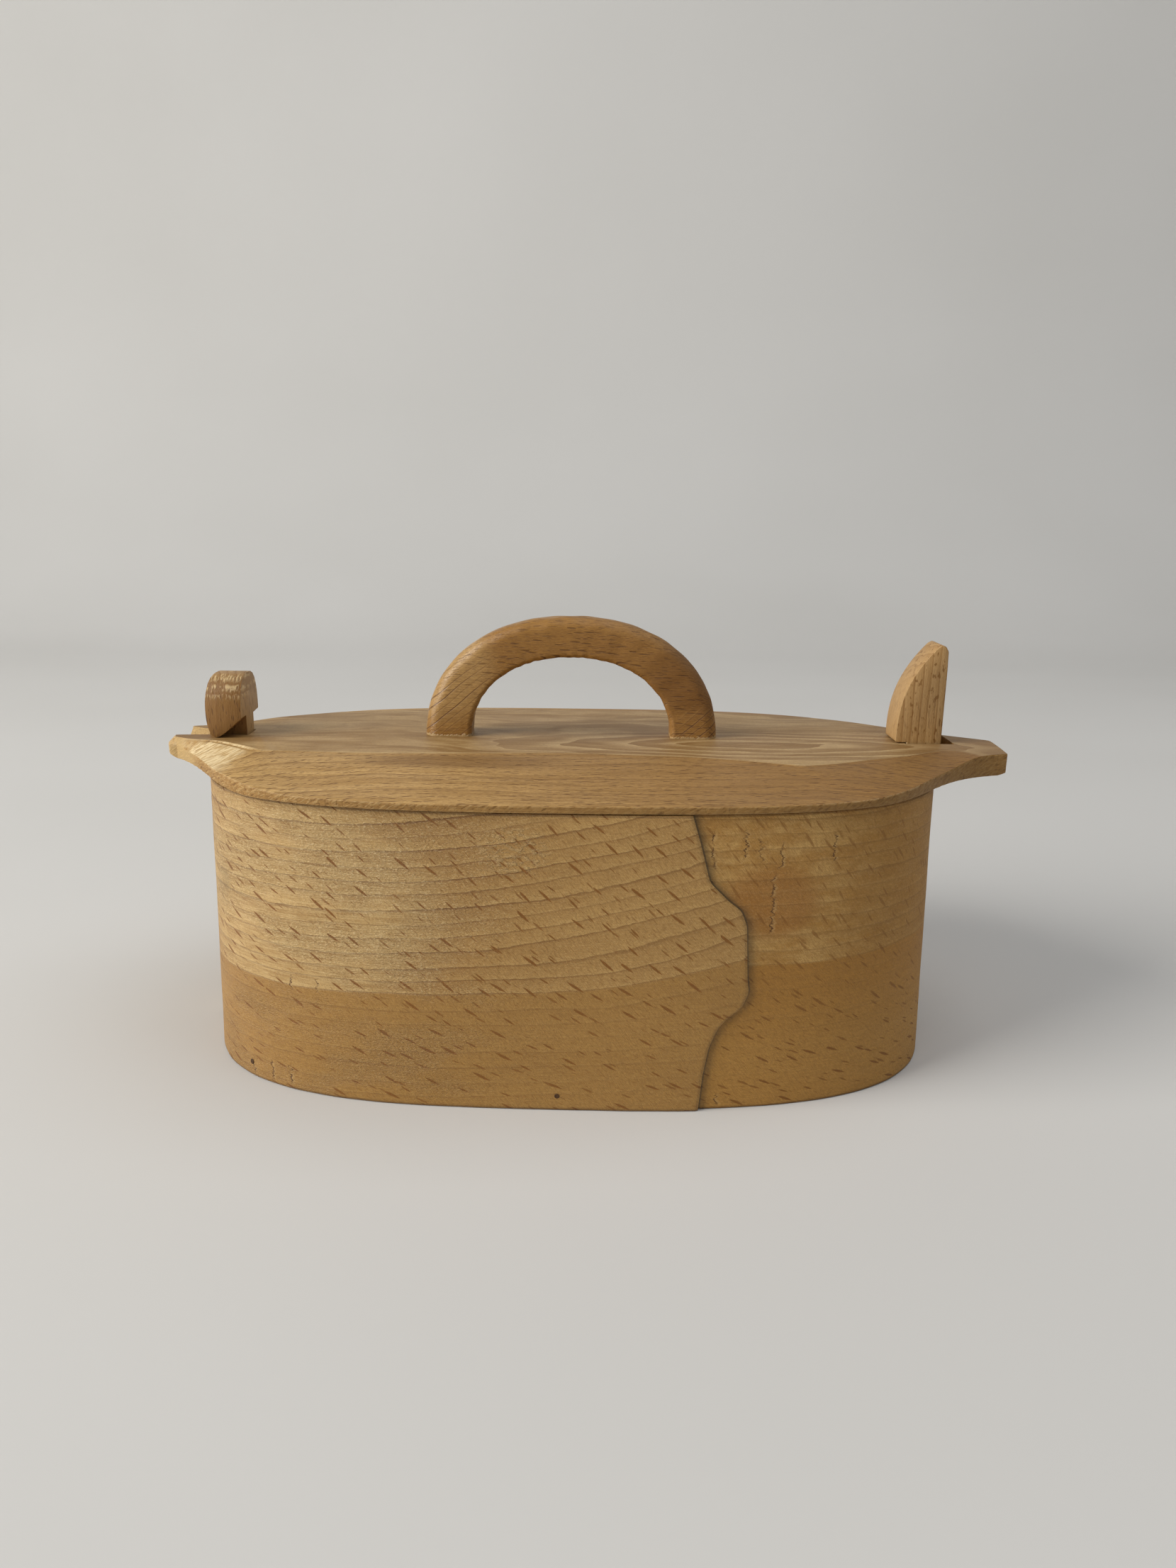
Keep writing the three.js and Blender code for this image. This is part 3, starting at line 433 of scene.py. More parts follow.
    def finish(self, colour, height, roughness, bump, specular=0.35):
        relief = {"Height": height, "Strength": bump, "Distance": 0.4 * MM}
        inputs = {"Base Color": colour, "Roughness": roughness, "Specular IOR Level": specular}
        inputs["Normal"] = self.node("Bump", relief).outputs[0]
        shader = self.node("BsdfPrincipled", inputs).outputs[0]
        self.node("OutputMaterial", {"Surface": shader})
        return self.material


# wrinkles in the strip as (distance right of the middle, lowest, highest)
CRACKS = (
    (39.5, 73.5, 84), (48.5, 76, 84), (53, 75, 81.5), (59, 73, 80), (57, 54, 71), (75, 74, 82),
    (43, 1.5, 4.5), (-99, 1, 6), (-91, 1.5, 7.5), (-84, 2, 7.5), (-82, 32.5, 36.5), (-73.5, 33, 36.5),
)
WALL_RING = 4.25  # the growth rings' spacing
LID_RING = 9
POST_RING = 2.9
HANDLE_RING = 2.7
TONE_CHANGE = 32.5  # height in the strip where its warm lower zone ends
BACK_START, BACK_END = 118, 290  # where the strip's grain starts and ends to drop, from the middle
BACK_DROP = 5.848
END_DROP = 11.7  # how much lower the grain lies in the strip's inner end
# how far below the rim the painted shadow of the lid's edge reaches
RIM_SHADOW_DEPTH = 0.95


def wall_material():
    s = Shader("beech_wall")
    p = s.unrolled_mm()
    u, z, _ = s.split(p)
    past = s.node("Attribute", {}, attribute_name="past_lap").outputs["Fac"]
    inner = s.math("GREATER_THAN", past, 0.02)
    inner_tone = s.times(inner, s.ramp(u, 275, 135))  # fades, so that the back has no seam
    cloud = s.noise(p, (34, 12, 1), 4, 0.55, 1.3)
    blotch = s.noise(p, (11, 4.5, 1), 3, 0.6, 14)
    fibre = s.noise(p, (7, 0.4, 1), 3, 0.65, 5.9)
    pore = s.noise(s.turned(p, 0.9), (1.5, 0.3, 1), 3, 0.7, 11)
    grit = s.noise(p, (0.8, 0.34, 1), 3, 0.65, 21)

    # growth lines climb towards the lapped end, and more so near the rim
    climb = s.most(s.add(u, 85), 0)
    climb = s.times(climb, climb, 0.00118, s.span(s.ramp(z, 15, 75), 0.25, 1))
    outer_drop = s.add(climb, s.spread(u, -BACK_START, -BACK_END, 0, BACK_DROP))
    inner_drop = s.spread(u, BACK_START, BACK_END, END_DROP, END_DROP - BACK_DROP)
    drop = s.span(inner, outer_drop, inner_drop)
    near_lap = s.ramp(s.size(u), 285, 215)
    wander = s.span(s.noise(p, (62, 15, 1), 3, 0.5, 3.1), -2.4, 2.4)
    level = s.add(s.minus(z, drop), s.times(wander, near_lap))
    uneven = s.span(s.noise(s.join(0, level), (1, 7, 1), 1, 0.5, 4.4), -1.8, 1.8)
    tooth = s.span(s.noise(p, (2.6, 1, 1), 2, 0.6, 7.7), -0.35, 0.35)
    saw, own = s.rings(s.add(level, uneven, s.times(tooth, near_lap), 0.8), WALL_RING)
    line = s.times(s.ramp(saw, 0.17, 0.04), s.span(own, 0.3, 1))
    zone = s.ramp(level, TONE_CHANGE, TONE_CHANGE + 0.8)
    strength = s.times(s.span(zone, 0.32, 1), s.span(inner_tone, 1, 0.55))
    strength = s.times(strength, s.span(s.ramp(u, -50, 15), 1, 0.62))

    # the plane tore the grain a little at the left; a pale patch there is painted sheen, and small pale
    # specks are painted glints
    coarse = s.ramp(s.noise(p, (30, 14, 1), 2, 0.5, 61), 0.38, 0.62)
    coarse = s.times(coarse, s.ramp(u, 10, -50))
    painted_sheen = s.times(s.patch(u, z, -84, 58, 52, 38), zone, s.spread(fibre, 0.62, 0.35, 0.25, 1))
    glint = s.times(s.ramp(grit, 0.48, 0.3), s.span(coarse, 0.14, 0.62))
    glint = s.times(glint, s.add(s.span(zone, 0.3, 0.85), s.times(painted_sheen, 0.8)))

    # ray flecks lean over: steep near the rim, flatter near the foot
    steep = s.ramp(z, 6, 60)
    flatter = s.times(s.ramp(u, -40, -105), s.ramp(u, -250, -160))
    outer_angle = s.span(steep, math.radians(25), math.radians(42))
    outer_angle = s.times(outer_angle, s.span(flatter, 1, 0.62))
    inner_angle = s.span(steep, math.radians(23), math.radians(52))
    angle = s.span(inner_tone, outer_angle, inner_angle)
    sizes = (7, 5.4, 0.78, 0.72, 4, 1), (5.4, 4, 0.6, 0.42, 9, 0.8), (2.6, 2.4, 0.3, 0.6, 15, 0.4)
    fleck = s.flecks(p, angle, 0.09, *sizes)
    fleck = s.times(fleck, s.span(s.times(inner_tone, steep), 1, 0.6))

    # wrinkles where the strip was bent, torn grain, dirt and the painted shadow of the lap's step, a stain
    sway = s.span(s.noise(p, (7, 1.7, 1), 3, 0.7, 31), -3, 3)
    broken = s.ramp(s.noise(p, (2, 1.6, 1), 2, 0.5, 8), 0.38, 0.52)
    crack = s.most(*[s.crack(u, z, sway, low, high, at, 0.17) for at, low, high in CRACKS])
    crack = s.times(crack, s.add(s.times(broken, 0.6), 0.4))
    flank = s.most(*[s.crack(u, z, sway, low, high, at + 0.55, 0.3) for at, low, high in CRACKS])
    torn = s.noise(p, (2.1, 1, 1), 3, 0.6, 40)
    torn = s.times(s.ramp(torn, 0.5, 0.6), s.patch(u, z, -16, 78, 11, 8))
    dirt_and_lap_shadow = s.spread(s.noise(p, (4, 5, 1), 3, 0.6, 51), 0.2, 0.8, 0.1, 0.5)
    dirt_and_lap_shadow = s.times(s.ramp(past, 3.8, 0), dirt_and_lap_shadow)
    # the crisp dark band right beside the step is its painted shadow; the noisy band beyond is dirt
    dirt_and_lap_shadow = s.times(s.most(dirt_and_lap_shadow, s.times(s.ramp(past, 0.95, 0.45), 0.7)), inner)
    stain = s.times(s.patch(u, z, -113, 60, 6, 6), s.ramp(blotch, 0.3, 0.6))
    # painted shadow under the lid's overhang, along the top of the strip
    painted_rim_shadow = s.add(z, s.spread(pore, 0.3, 0.7, -0.1, 0.1))
    painted_rim_shadow = s.ramp(painted_rim_shadow, WALL_HEIGHT - RIM_SHADOW_DEPTH, WALL_HEIGHT - RIM_SHADOW_DEPTH + 0.4)

    pale = s.mix(cloud, (0.54, 0.318, 0.1), (0.63, 0.392, 0.136))
    warm = s.mix(cloud, (0.43, 0.234, 0.056), (0.49, 0.274, 0.072))
    dusky = s.coat(
        s.mix(s.ramp(blotch, 0.38, 0.64), (0.7, 0.425, 0.135), (0.54, 0.285, 0.064)),
        (s.patch(u, z, 57, 63, 16, 12), 0.8, (0.41, 0.17, 0.024)),
        (s.ramp(u, 62, 98), 0.75, (0.44, 0.215, 0.034)),
    )
    golden = s.mix(s.ramp(z, 44, 14), (0.49, 0.236, 0.038), (0.55, 0.292, 0.062))
    golden = s.mix(s.span(cloud, 0, 0.35), golden, (0.42, 0.2, 0.04))
    colour = s.coat(
        s.mix(inner_tone, s.mix(zone, warm, pale), s.mix(zone, golden, dusky)),
        (s.span(own, 0, 0.36), strength, (0.34, 0.175, 0.045)),
        (s.span(saw, 0.56, 0), strength, (0.3, 0.15, 0.036)),
        (s.ramp(saw, 0.72, 0.98), strength, 0.2, (0.7, 0.48, 0.2)),
        (line, strength, 0.95, (0.17, 0.072, 0.015)),
        (s.spread(fibre, 0.35, 0.7, 0, 0.24), (0.25, 0.115, 0.026)),
        (s.spread(pore, 0.42, 0.72, 0, 0.5), (0.24, 0.105, 0.022)),
        (s.spread(grit, 0.42, 0.75, 0, 0.3), (0.2, 0.086, 0.018)),
        # painted sheen and painted glints of the window light
        (painted_sheen, 0.45, (0.8, 0.59, 0.28)),
        (glint, (0.8, 0.6, 0.32)),
        (fleck, (0.24, 0.094, 0.011)),
        (flank, broken, 0.25, (0.7, 0.48, 0.2)),
        (crack, 0.95, (0.12, 0.048, 0.01)),
        (torn, 0.3, (0.68, 0.48, 0.22)),
        (dirt_and_lap_shadow, (0.12, 0.095, 0.055)),
        (stain, 0.3, (0.2, 0.14, 0.06)),
        (painted_rim_shadow, 0.4, (0.05, 0.018, 0.005)),
        # painted contact shade along the strip's foot
        (s.ramp(z, 1, 0.3), 0.55, (0.09, 0.04, 0.012)),
    )
    height = s.total(
        (fibre, 0.35), (pore, 0.75), (grit, s.span(coarse, -0.35, -1.9)), (line, strength, -0.2),
        (fleck, -0.2), (crack, -0.4), (torn, 0.8),
    )
    roughness = s.add(s.spread(cloud, 0.3, 0.7, 0.4, 0.5), s.times(inner_tone, 0.22))
    return s.finish(colour, height, roughness, bump=0.8, specular=0.45)


def lid_material():
    s = Shader("beech_lid")
    p = s.object_mm()
    x, y, z = s.split(p)
    nx, ny, nz = s.normal()
    depth = s.minus(LID_TOP, z)
    side = s.ramp(s.size(nz), 0.75, 0.4)
    soft_ridge = s.span(s.noise(p, (26, 9, 9), 2, 0.5, 3), -0.08, 0.08)
    carved = s.ramp(s.add(depth, soft_ridge), 0.06, 0.26)
    right = s.ramp(x, -105, 105)
    cloud, fibre, grit = s.wood(p, (42, 17, 17), (9, 0.5, 0.5), (0.9, 0.3, 0.3))

    # a flame figure on the field, straighter growth lines on the bevels
    wander = s.noise(p, (85, 34, 20), 3, 0.5, 2)
    swirl = s.noise(p, (48, 22, 20), 3, 0.55, 12)
    wander = s.times(s.minus(wander, 0.5), s.span(carved, 68, 18))
    level = s.add(y, s.add(wander, s.times(depth, 2.5)))
    saw, _ = s.rings(level, LID_RING)
    arc_x = s.over(s.minus(x, 62), 78)
    arc_y = s.over(s.add(y, 13), 19)
    arcs = s.math("SQRT", s.add(s.times(arc_x, arc_x), s.times(arc_y, arc_y)))
    arcs = s.add(arcs, s.span(swirl, -0.24, 0.24))
    arc_mask = s.times(s.ramp(arcs, 1.25, 0.95), s.minus(1, carved))
    arc_saw, _ = s.rings(arcs, 0.27)
    flame = s.noise(s.join(s.times(x, 0.6), level, z), (22, 5, 20), 2, 0.55, 6)
    satin = s.noise(s.join(s.times(x, 0.3), level, z), (12, 1.3, 20), 3, 0.6, 36)

    # short dark pores that turn with the grain towards the left end
    angle = s.span(s.ramp(x, -112, -30), -0.85, -0.06)
    dash = s.flecks(p, angle, 0.05, (3.6, 3.2, 0.36, 0.8, 3, 1), (2.4, 2, 0.28, 0.7, 8, 0.8))
    dash = s.times(dash, s.span(carved, 0.25, 1))

    # the knife-cut facet on the fork, turned to the window, is painted pale as a painted highlight
    facet = s.times(
        s.ramp(nx, -0.1, -0.19), s.ramp(nz, 0.8, 0.88), s.ramp(x, -96, -104),
        s.ramp(ny, 0.05, -0.1),
    )
    streak = s.noise(s.turned(p, -0.75), (5, 0.9, 1.6), 3, 0.65, 23)
    facet_highlight = s.mix(s.ramp(streak, 0.36, 0.6), (0.5, 0.32, 0.13), (0.84, 0.66, 0.38))

    # painted highlights on the ridge and the upper arrises, a painted reflection on the lower arris, and a
    # duller edge cut with the knife
    ridge = s.times(s.ramp(depth, 0.02, 0.06), s.ramp(depth, 0.22, 0.1))
    ridge = s.times(ridge, s.spread(s.noise(p, (22, 12, 9), 2, 0.5, 17), 0.35, 0.65, 0, 1))
    cuts = s.noise(s.turned(p, 0.5, "Y_AXIS"), (1.9, 4, 0.6), 2, 0.6, 27)
    rough_cuts = s.times(s.ramp(cuts, 0.5, 0.62), s.span(s.ramp(x, 0, -70), 0.3, 1))
    arris = s.times(s.ramp(nz, 0.35, 0.55), s.ramp(nz, 0.97, 0.85))
    arris = s.times(arris, s.span(right, 0.6, 0.3), s.ramp(cuts, 0.38, 0.55))
    under_arris_reflection = s.times(s.ramp(nz, -0.2, -0.5), s.ramp(depth, 7.2, 6.4), 0.6)
    arris = s.most(s.times(arris, s.ramp(facet, 0.6, 0)), under_arris_reflection)

    field = s.coat(
        s.mix(s.ramp(flame, 0.34, 0.66), (0.3, 0.172, 0.058), (0.51, 0.34, 0.152)),
        (s.ramp(swirl, 0.5, 0.68), 0.45, (0.22, 0.12, 0.038)),
        (arc_mask, s.span(arc_saw, 0.85, 0), (0.26, 0.145, 0.048)),
        (arc_mask, s.spread(arc_saw, 0.55, 1, 0, 0.75), (0.62, 0.44, 0.22)),
    )
    near_left = s.mix(cloud, (0.77, 0.5, 0.2), (0.64, 0.39, 0.136))
    near_right = s.mix(cloud, (0.38, 0.2, 0.05), (0.31, 0.152, 0.035))
    bevel = s.coat(
        s.mix(right, near_left, near_right),
        (s.ramp(satin, 0.45, 0.63), s.mix(right, (0.54, 0.32, 0.104), (0.25, 0.123, 0.03))),
        (s.span(saw, 0.4, 0), 0.8, (0.27, 0.14, 0.042)),
    )
    edge = s.coat(
        s.mix(right, (0.42, 0.232, 0.07), (0.31, 0.165, 0.044)),
        (s.spread(fibre, 0.35, 0.7, 0, 0.6), (0.18, 0.085, 0.02)),
        (s.ramp(cuts, 0.42, 0.34), (0.2, 0.1, 0.026)),
        (s.ramp(x, -114, -122), 0.6, (0.62, 0.44, 0.2)),
        (rough_cuts, 0.4, (0.62, 0.42, 0.18)),
    )
    colour = s.coat(
        s.mix(carved, field, bevel),
        (s.ramp(saw, 0.12, 0.02), s.span(carved, 0.12, 0.3), (0.16, 0.072, 0.018)),
        # painted shade on the bevel just below the ridge
        (s.ramp(depth, 2.2, 0.3), carved, 0.22, (0.2, 0.1, 0.03)),
        (s.patch(x, y, -32, -37.5, 36, 7), carved, 0.55, (0.2, 0.1, 0.03)),
        # painted shade towards the ear's end, which faces away from the window
        (s.ramp(x, 94, 116), 0.36, (0.18, 0.092, 0.028)),
        (s.spread(fibre, 0.38, 0.7, 0, 0.42), (0.18, 0.088, 0.024)),
        (s.spread(grit, 0.38, 0.72, 0, 0.42), (0.16, 0.074, 0.02)),
        (dash, (0.12, 0.046, 0.009)),
        (facet, s.span(dash, 0.95, 0.4), facet_highlight),
        # painted highlight along the ridge, and painted highlights and reflection on the arrises
        (ridge, s.span(right, 0.9, 0.2), (0.58, 0.41, 0.2)),
        (side, edge),
        (arris, (0.6, 0.43, 0.22)),
    )
    height = s.total(
        (fibre, 0.4), (grit, 0.35), (dash, -0.4), (rough_cuts, side, 0.6), (streak, facet, 1.6),
    )
    roughness = s.add(s.spread(cloud, 0.3, 0.7, 0.46, 0.54), s.times(carved, 0.06))
    return s.finish(colour, height, roughness, bump=0.5, specular=0.3)


def post_material():
    s = Shader("beech_post")
    p = s.object_mm()
    x, y, z = s.split(p)
    nx, ny, _ = s.normal()
    keeper = s.math("LESS_THAN", x, 0)
    latch = s.minus(1, keeper)
    # the keeper's front face is darker: its own darker tone together with painted shade
    front = s.times(s.ramp(ny, -0.25, -0.7), keeper)
    quartered = s.ramp(s.size(nx), 0.97, 0.7)
    wander = s.span(s.noise(p, (9, 9, 60), 2, 0.5, 2), -2.2, 2.2)
    saw, own = s.rings(s.add(x, s.times(y, 0.22), wander), POST_RING)
    line = s.times(s.ramp(saw, 0.25, 0.04), s.span(own, 0.2, 1), quartered)
    cloud, fibre, grit = s.wood(p, (12, 12, 30), (0.45, 0.45, 9), (0.32, 0.32, 1.1))
    flat = s.join(z, s.add(x, y))
    dash = s.flecks(flat, 0.06, 0.05, (3.6, 3.6, 0.4, 0.7, 3, 1), (2.6, 1.9, 0.3, 0.5, 9, 1))
    dash = s.times(dash, s.span(keeper, 0.3, 0.75), s.ramp(z, KEEPER_TOP - 3, KEEPER_TOP - 8))
    smudge = s.ramp(s.noise(p, (1.1, 2.4, 2.6), 2, 0.5, 33), 0.59, 0.66)
    smudge = s.times(smudge, s.span(quartered, 0.25, 1), s.span(latch, 0.2, 0.85))
    # painted highlight along the latch's front arris
    latch_arris_highlight = s.times(s.ramp(nx, -0.3, -0.45), s.ramp(ny, -0.3, -0.45))
    latch_arris_highlight = s.times(latch_arris_highlight, latch, s.ramp(fibre, 0.75, 0.45), 0.85)
    # the keeper's top was pared in short strokes, which left rows of small torn ridges; the pale ticks on
    # them are painted highlights
    pared = s.times(keeper, s.ramp(z, KEEPER_TOP - 8.5, KEEPER_TOP - 5.5))
    row, _ = s.rings(s.add(z, s.span(s.noise(p, (2, 4, 9), 2, 0.5, 44), -1.2, 1.2)), POST_RING)
    row = s.times(s.ramp(row, 0, 0.3), s.ramp(row, 1, 0.45))
    chatter_and_glints = s.times(s.ramp(s.noise(p, (0.62, 4, 2.4), 2, 0.6, 50), 0.42, 0.6), row, pared)
    colour = s.coat(
        s.mix(cloud, (0.58, 0.375, 0.165), (0.48, 0.288, 0.115)),
        # painted shade with the darker tone of the keeper's front face
        (front, 0.85, s.mix(cloud, (0.215, 0.096, 0.0145), (0.172, 0.07, 0.009))),
        (s.span(saw, 0.6, 0), quartered, (0.32, 0.165, 0.044)),
        (line, 0.6, (0.2, 0.088, 0.02)),
        (s.spread(fibre, 0.35, 0.72, 0, 0.36), (0.23, 0.112, 0.032)),
        (s.spread(grit, 0.38, 0.75, 0, 0.24), (0.19, 0.088, 0.026)),
        (dash, (0.12, 0.048, 0.013)),
        (smudge, (0.22, 0.1, 0.024)),
        (latch_arris_highlight, (0.85, 0.66, 0.38)),
        (chatter_and_glints, 0.62, (0.78, 0.58, 0.3)),
        (s.minus(pared, chatter_and_glints), 0.3, (0.2, 0.09, 0.024)),
    )
    height = s.total((fibre, 0.5), (grit, 0.3), (dash, -0.4), (chatter_and_glints, 0.9))
    return s.finish(colour, height, s.spread(cloud, 0.3, 0.7, 0.44, 0.56), bump=0.5)


def handle_material():
    s = Shader("beech_handle")
    p = s.object_mm()
    x, y, z = s.split(p)
    rise = s.minus(z, LID_TOP)
    cloud, fibre, grit = s.wood(p, (22, 12, 9), (9, 0.45, 0.45), (1.1, 0.32, 0.32))
    # growth lines slant across the left foot and fan out at the right one
    wander = s.span(s.noise(p, (30, 12, 20), 2, 0.5, 2), -1.6, 1.6)
    saw, own = s.rings(s.add(s.minus(rise, s.times(s.add(x, 48), 0.8)), wander), HANDLE_RING)
    left = s.times(s.ramp(x, -16, -34), s.ramp(rise, 34, 8))
    right = s.times(s.ramp(x, 31, 37), s.ramp(rise, 13, 7))
    feet = s.most(left, s.times(right, 0.9))
    line = s.times(s.ramp(saw, 0.24, 0.09), s.spread(own, 0, 0.6, 0.25, 1), feet)
    flat = s.join(x, s.add(z, y))
    dash = s.flecks(flat, 0.05, 0.05, (3.6, 4, 0.36, 0.75, 3, 1), (2.2, 2.4, 0.24, 0.7, 8, 0.8))
    dash = s.times(dash, s.span(left, 0.75, 0.2))
    # crumbled fibres where the feet meet the lid
    crumb = s.add(rise, s.span(s.noise(p, (1.3, 1.3, 2), 3, 0.6, 19), -1.3, 1.3))
    crumb = s.ramp(crumb, 0.8, 0.35)
    colour = s.coat(
        s.mix(cloud, (0.4, 0.205, 0.045), (0.32, 0.15, 0.029)),
        # painted sheen on the upper left of the bow and painted shade on its right leg
        (s.patch(x, rise, -44, 22, 20, 20), 0.55, (0.66, 0.43, 0.17)),
        (s.patch(x, rise, 44, 20, 24, 14), 0.6, (0.17, 0.066, 0.006)),
        (s.ramp(saw, 0.6, 0.95), feet, 0.35, (0.52, 0.3, 0.09)),
        (line, 0.85, (0.1, 0.036, 0.007)),
        (s.spread(fibre, 0.36, 0.72, 0, 0.36), (0.17, 0.073, 0.017)),
        (s.spread(grit, 0.38, 0.72, 0, 0.4), (0.14, 0.056, 0.012)),
        (dash, (0.1, 0.036, 0.006)),
        (crumb, 0.75, (0.5, 0.34, 0.15)),
    )
    height = s.total((fibre, 0.45), (grit, 0.3), (dash, -0.5), (crumb, 0.8), (line, -0.4))
    roughness = s.add(s.spread(fibre, 0.3, 0.7, 0.28, 0.48), s.times(s.ramp(x, -10, 30), 0.25))
    return s.finish(colour, height, roughness, bump=0.6, specular=0.5)


def peg_material():
    """End grain of the pegs and wedges, coloured a dark brown."""
    s = Shader("beech_peg")
    p = s.object_mm()
    grain = s.noise(p, (0.5, 0.5, 0.5), 3, 0.6, 4)
    colour = s.coat(
        s.mix(s.noise(p, (2, 2, 2), 2, 0.5, 9), (0.13, 0.062, 0.02), (0.06, 0.025, 0.008)),
        (s.spread(grain, 0.4, 0.7, 0, 0.6), (0.02, 0.008, 0.003)),
    )
    return s.finish(colour, grain, 0.7, bump=0.5)


MATERIALS = {
    "beech_wall": wall_material(),
    "beech_lid": lid_material(),
    "beech_post": post_material(),
    "beech_handle": handle_material(),
    "beech_peg": peg_material(),
}


# Wall
def wall_point(angle, z, offset):
    """A point of the wall's outside at a true angle, moved outward by offset."""
    a, b, n = WALL_HALF_X - WALL_END_LEAN * z / WALL_HEIGHT, WALL_HALF_Y, WALL_POWER
    x, y = super_point(angle, a, b, n)
    nx = np.sign(x) * np.abs(x / a) ** (n - 1) / a
    ny = np.sign(y) * np.abs(y / b) ** (n - 1) / b
    size = np.hypot(nx, ny)
    return np.stack([x + offset * nx / size, y + offset * ny / size, z + 0 * x], -1)


turns = np.linspace(-1.5 * math.pi, 0.5 * math.pi, 8001)
trace = wall_point(turns, 0 * turns, 0 * turns)
lengths = path_run(trace)
lengths -= lengths[4000]
HALF_ROUND = lengths[-1]


def angle_at(run):
    return np.interp(run, lengths, turns)


# the sawn end of the outer layer, from the rim down, as (height, distance right of the middle)
LAP_EDGE = [
    (88.9, 33.3), (80.9, 35.7), (69.6, 38.7), (63.7, 44.5), (61.3, 47.8), (56.7, 49.6), (40.2, 50.5),
    (36.5, 51.1), (31.7, 49.1), (29.5, 45.9), (25.8, 42.5), (19.9, 40.1), (11.3, 38.6), (0, 37.6),
]
LAP_MIDDLE = 43.0
LAP_REACH = 24.0


def lap_edge(z):
    """How far right of the middle the outer layer ends at a height, its corners smoothed."""
    heights, ends = np.array(LAP_EDGE[::-1]).T
    taps = np.linspace(-1.4, 1.4, 9)
    weight = np.exp(-(taps**2) / 1.2)
    return weight @ np.interp(np.clip(z + taps, 0, WALL_HEIGHT), heights, ends) / weight.sum()


def wall_mesh():
    near = np.array([-2.4, -1.6, -1, -0.6, -0.3, -0.12, 0, 0.05, 0.12, 0.5, 1, 1.6, 2.4])
    left = np.linspace(-HALF_ROUND, LAP_MIDDLE - 3.2, 380)
    right = np.linspace(LAP_MIDDLE + 3.2, HALF_ROUND, 280)[:-1]
    base = np.concatenate([left, LAP_MIDDLE + near, right])
    edge_column = len(left) + int(np.argmin(np.abs(near)))
    hold = 1 - smoothstep(np.abs(base - LAP_MIDDLE), 3.5, LAP_REACH)
    swell = Waves(90, 60)
    ripple = Waves(17, 24)
    rows, maps, past = [], [], []

    def stations(z):
        """Where a row's points lie along the strip, and where the lap ends in that row."""
        run = base + (lap_edge(z) - LAP_MIDDLE) * hold
        maps.append(np.stack([run, np.full_like(run, z)], -1))
        past.append(run - run[edge_column])
        return run, run[edge_column]

    soft = np.array([0, 0.15, 0.5])  # the rounded arrises
    rise = np.concatenate([soft, np.linspace(1.2, WALL_HEIGHT - 1.2, 90), WALL_HEIGHT - soft[::-1]])
    tuck = np.interp(rise, [*soft, *(WALL_HEIGHT - soft[::-1])], [*soft[::-1], *soft])
    for z, back in zip(rise, tuck):
        run, edge = stations(z)
        lap = LAP_STEP * np.clip((run - LAP_START) / (edge - LAP_START), 0, 1)
        lap = lap - 0.28 * smoothstep(run, edge - 0.8, edge)
        lap[edge_column + 1:] = 0
        lap[edge_column + 1] = LAP_STEP * 0.45
        offset = lap + 0.1 * swell(run, z) + 0.045 * ripple(run, z) - back
        rows.append(wall_point(angle_at(run), z, offset))
    inner_rise = [*(WALL_HEIGHT - soft), 60, 30, *soft[::-1]]
    inner_tuck = [*soft[::-1], 0, 0, *soft]
    for z, back in zip(inner_rise, inner_tuck):
        run, _ = stations(z)
        rows.append(wall_point(angle_at(run), z, back - WALL_THICKNESS + 0 * run))
    count = len(base)
    faces = grid_faces(len(rows), count, closed_rows=True, closed_columns=True)
    mesh = mesh_from("bent_wall", np.concatenate(rows), faces)

    # the map runs on past the strip's middle at the back, where its first column meets its last
    at = np.zeros(len(mesh.loops), int)
    mesh.loops.foreach_get("vertex_index", at)
    uv = np.concatenate(maps)[at].reshape(-1, 4, 2)
    column = at.reshape(-1, 4) % count
    crossing = (column.max(1) == count - 1) & (column.min(1) == 0)
    uv[..., 0] += np.where(crossing[:, None] & (column == 0), 2 * HALF_ROUND, 0)
    layer = mesh.uv_layers.new(name="unrolled")
    layer.data.foreach_set("uv", (uv * MM).ravel())
    mark = mesh.attributes.new("past_lap", "FLOAT", "POINT")
    mark.data.foreach_set("value", np.concatenate(past).astype(np.float32))
    return outward(mesh)


place("bent_wall", wall_mesh(), "beech_wall", "box", "wall_strip", sharp=32)


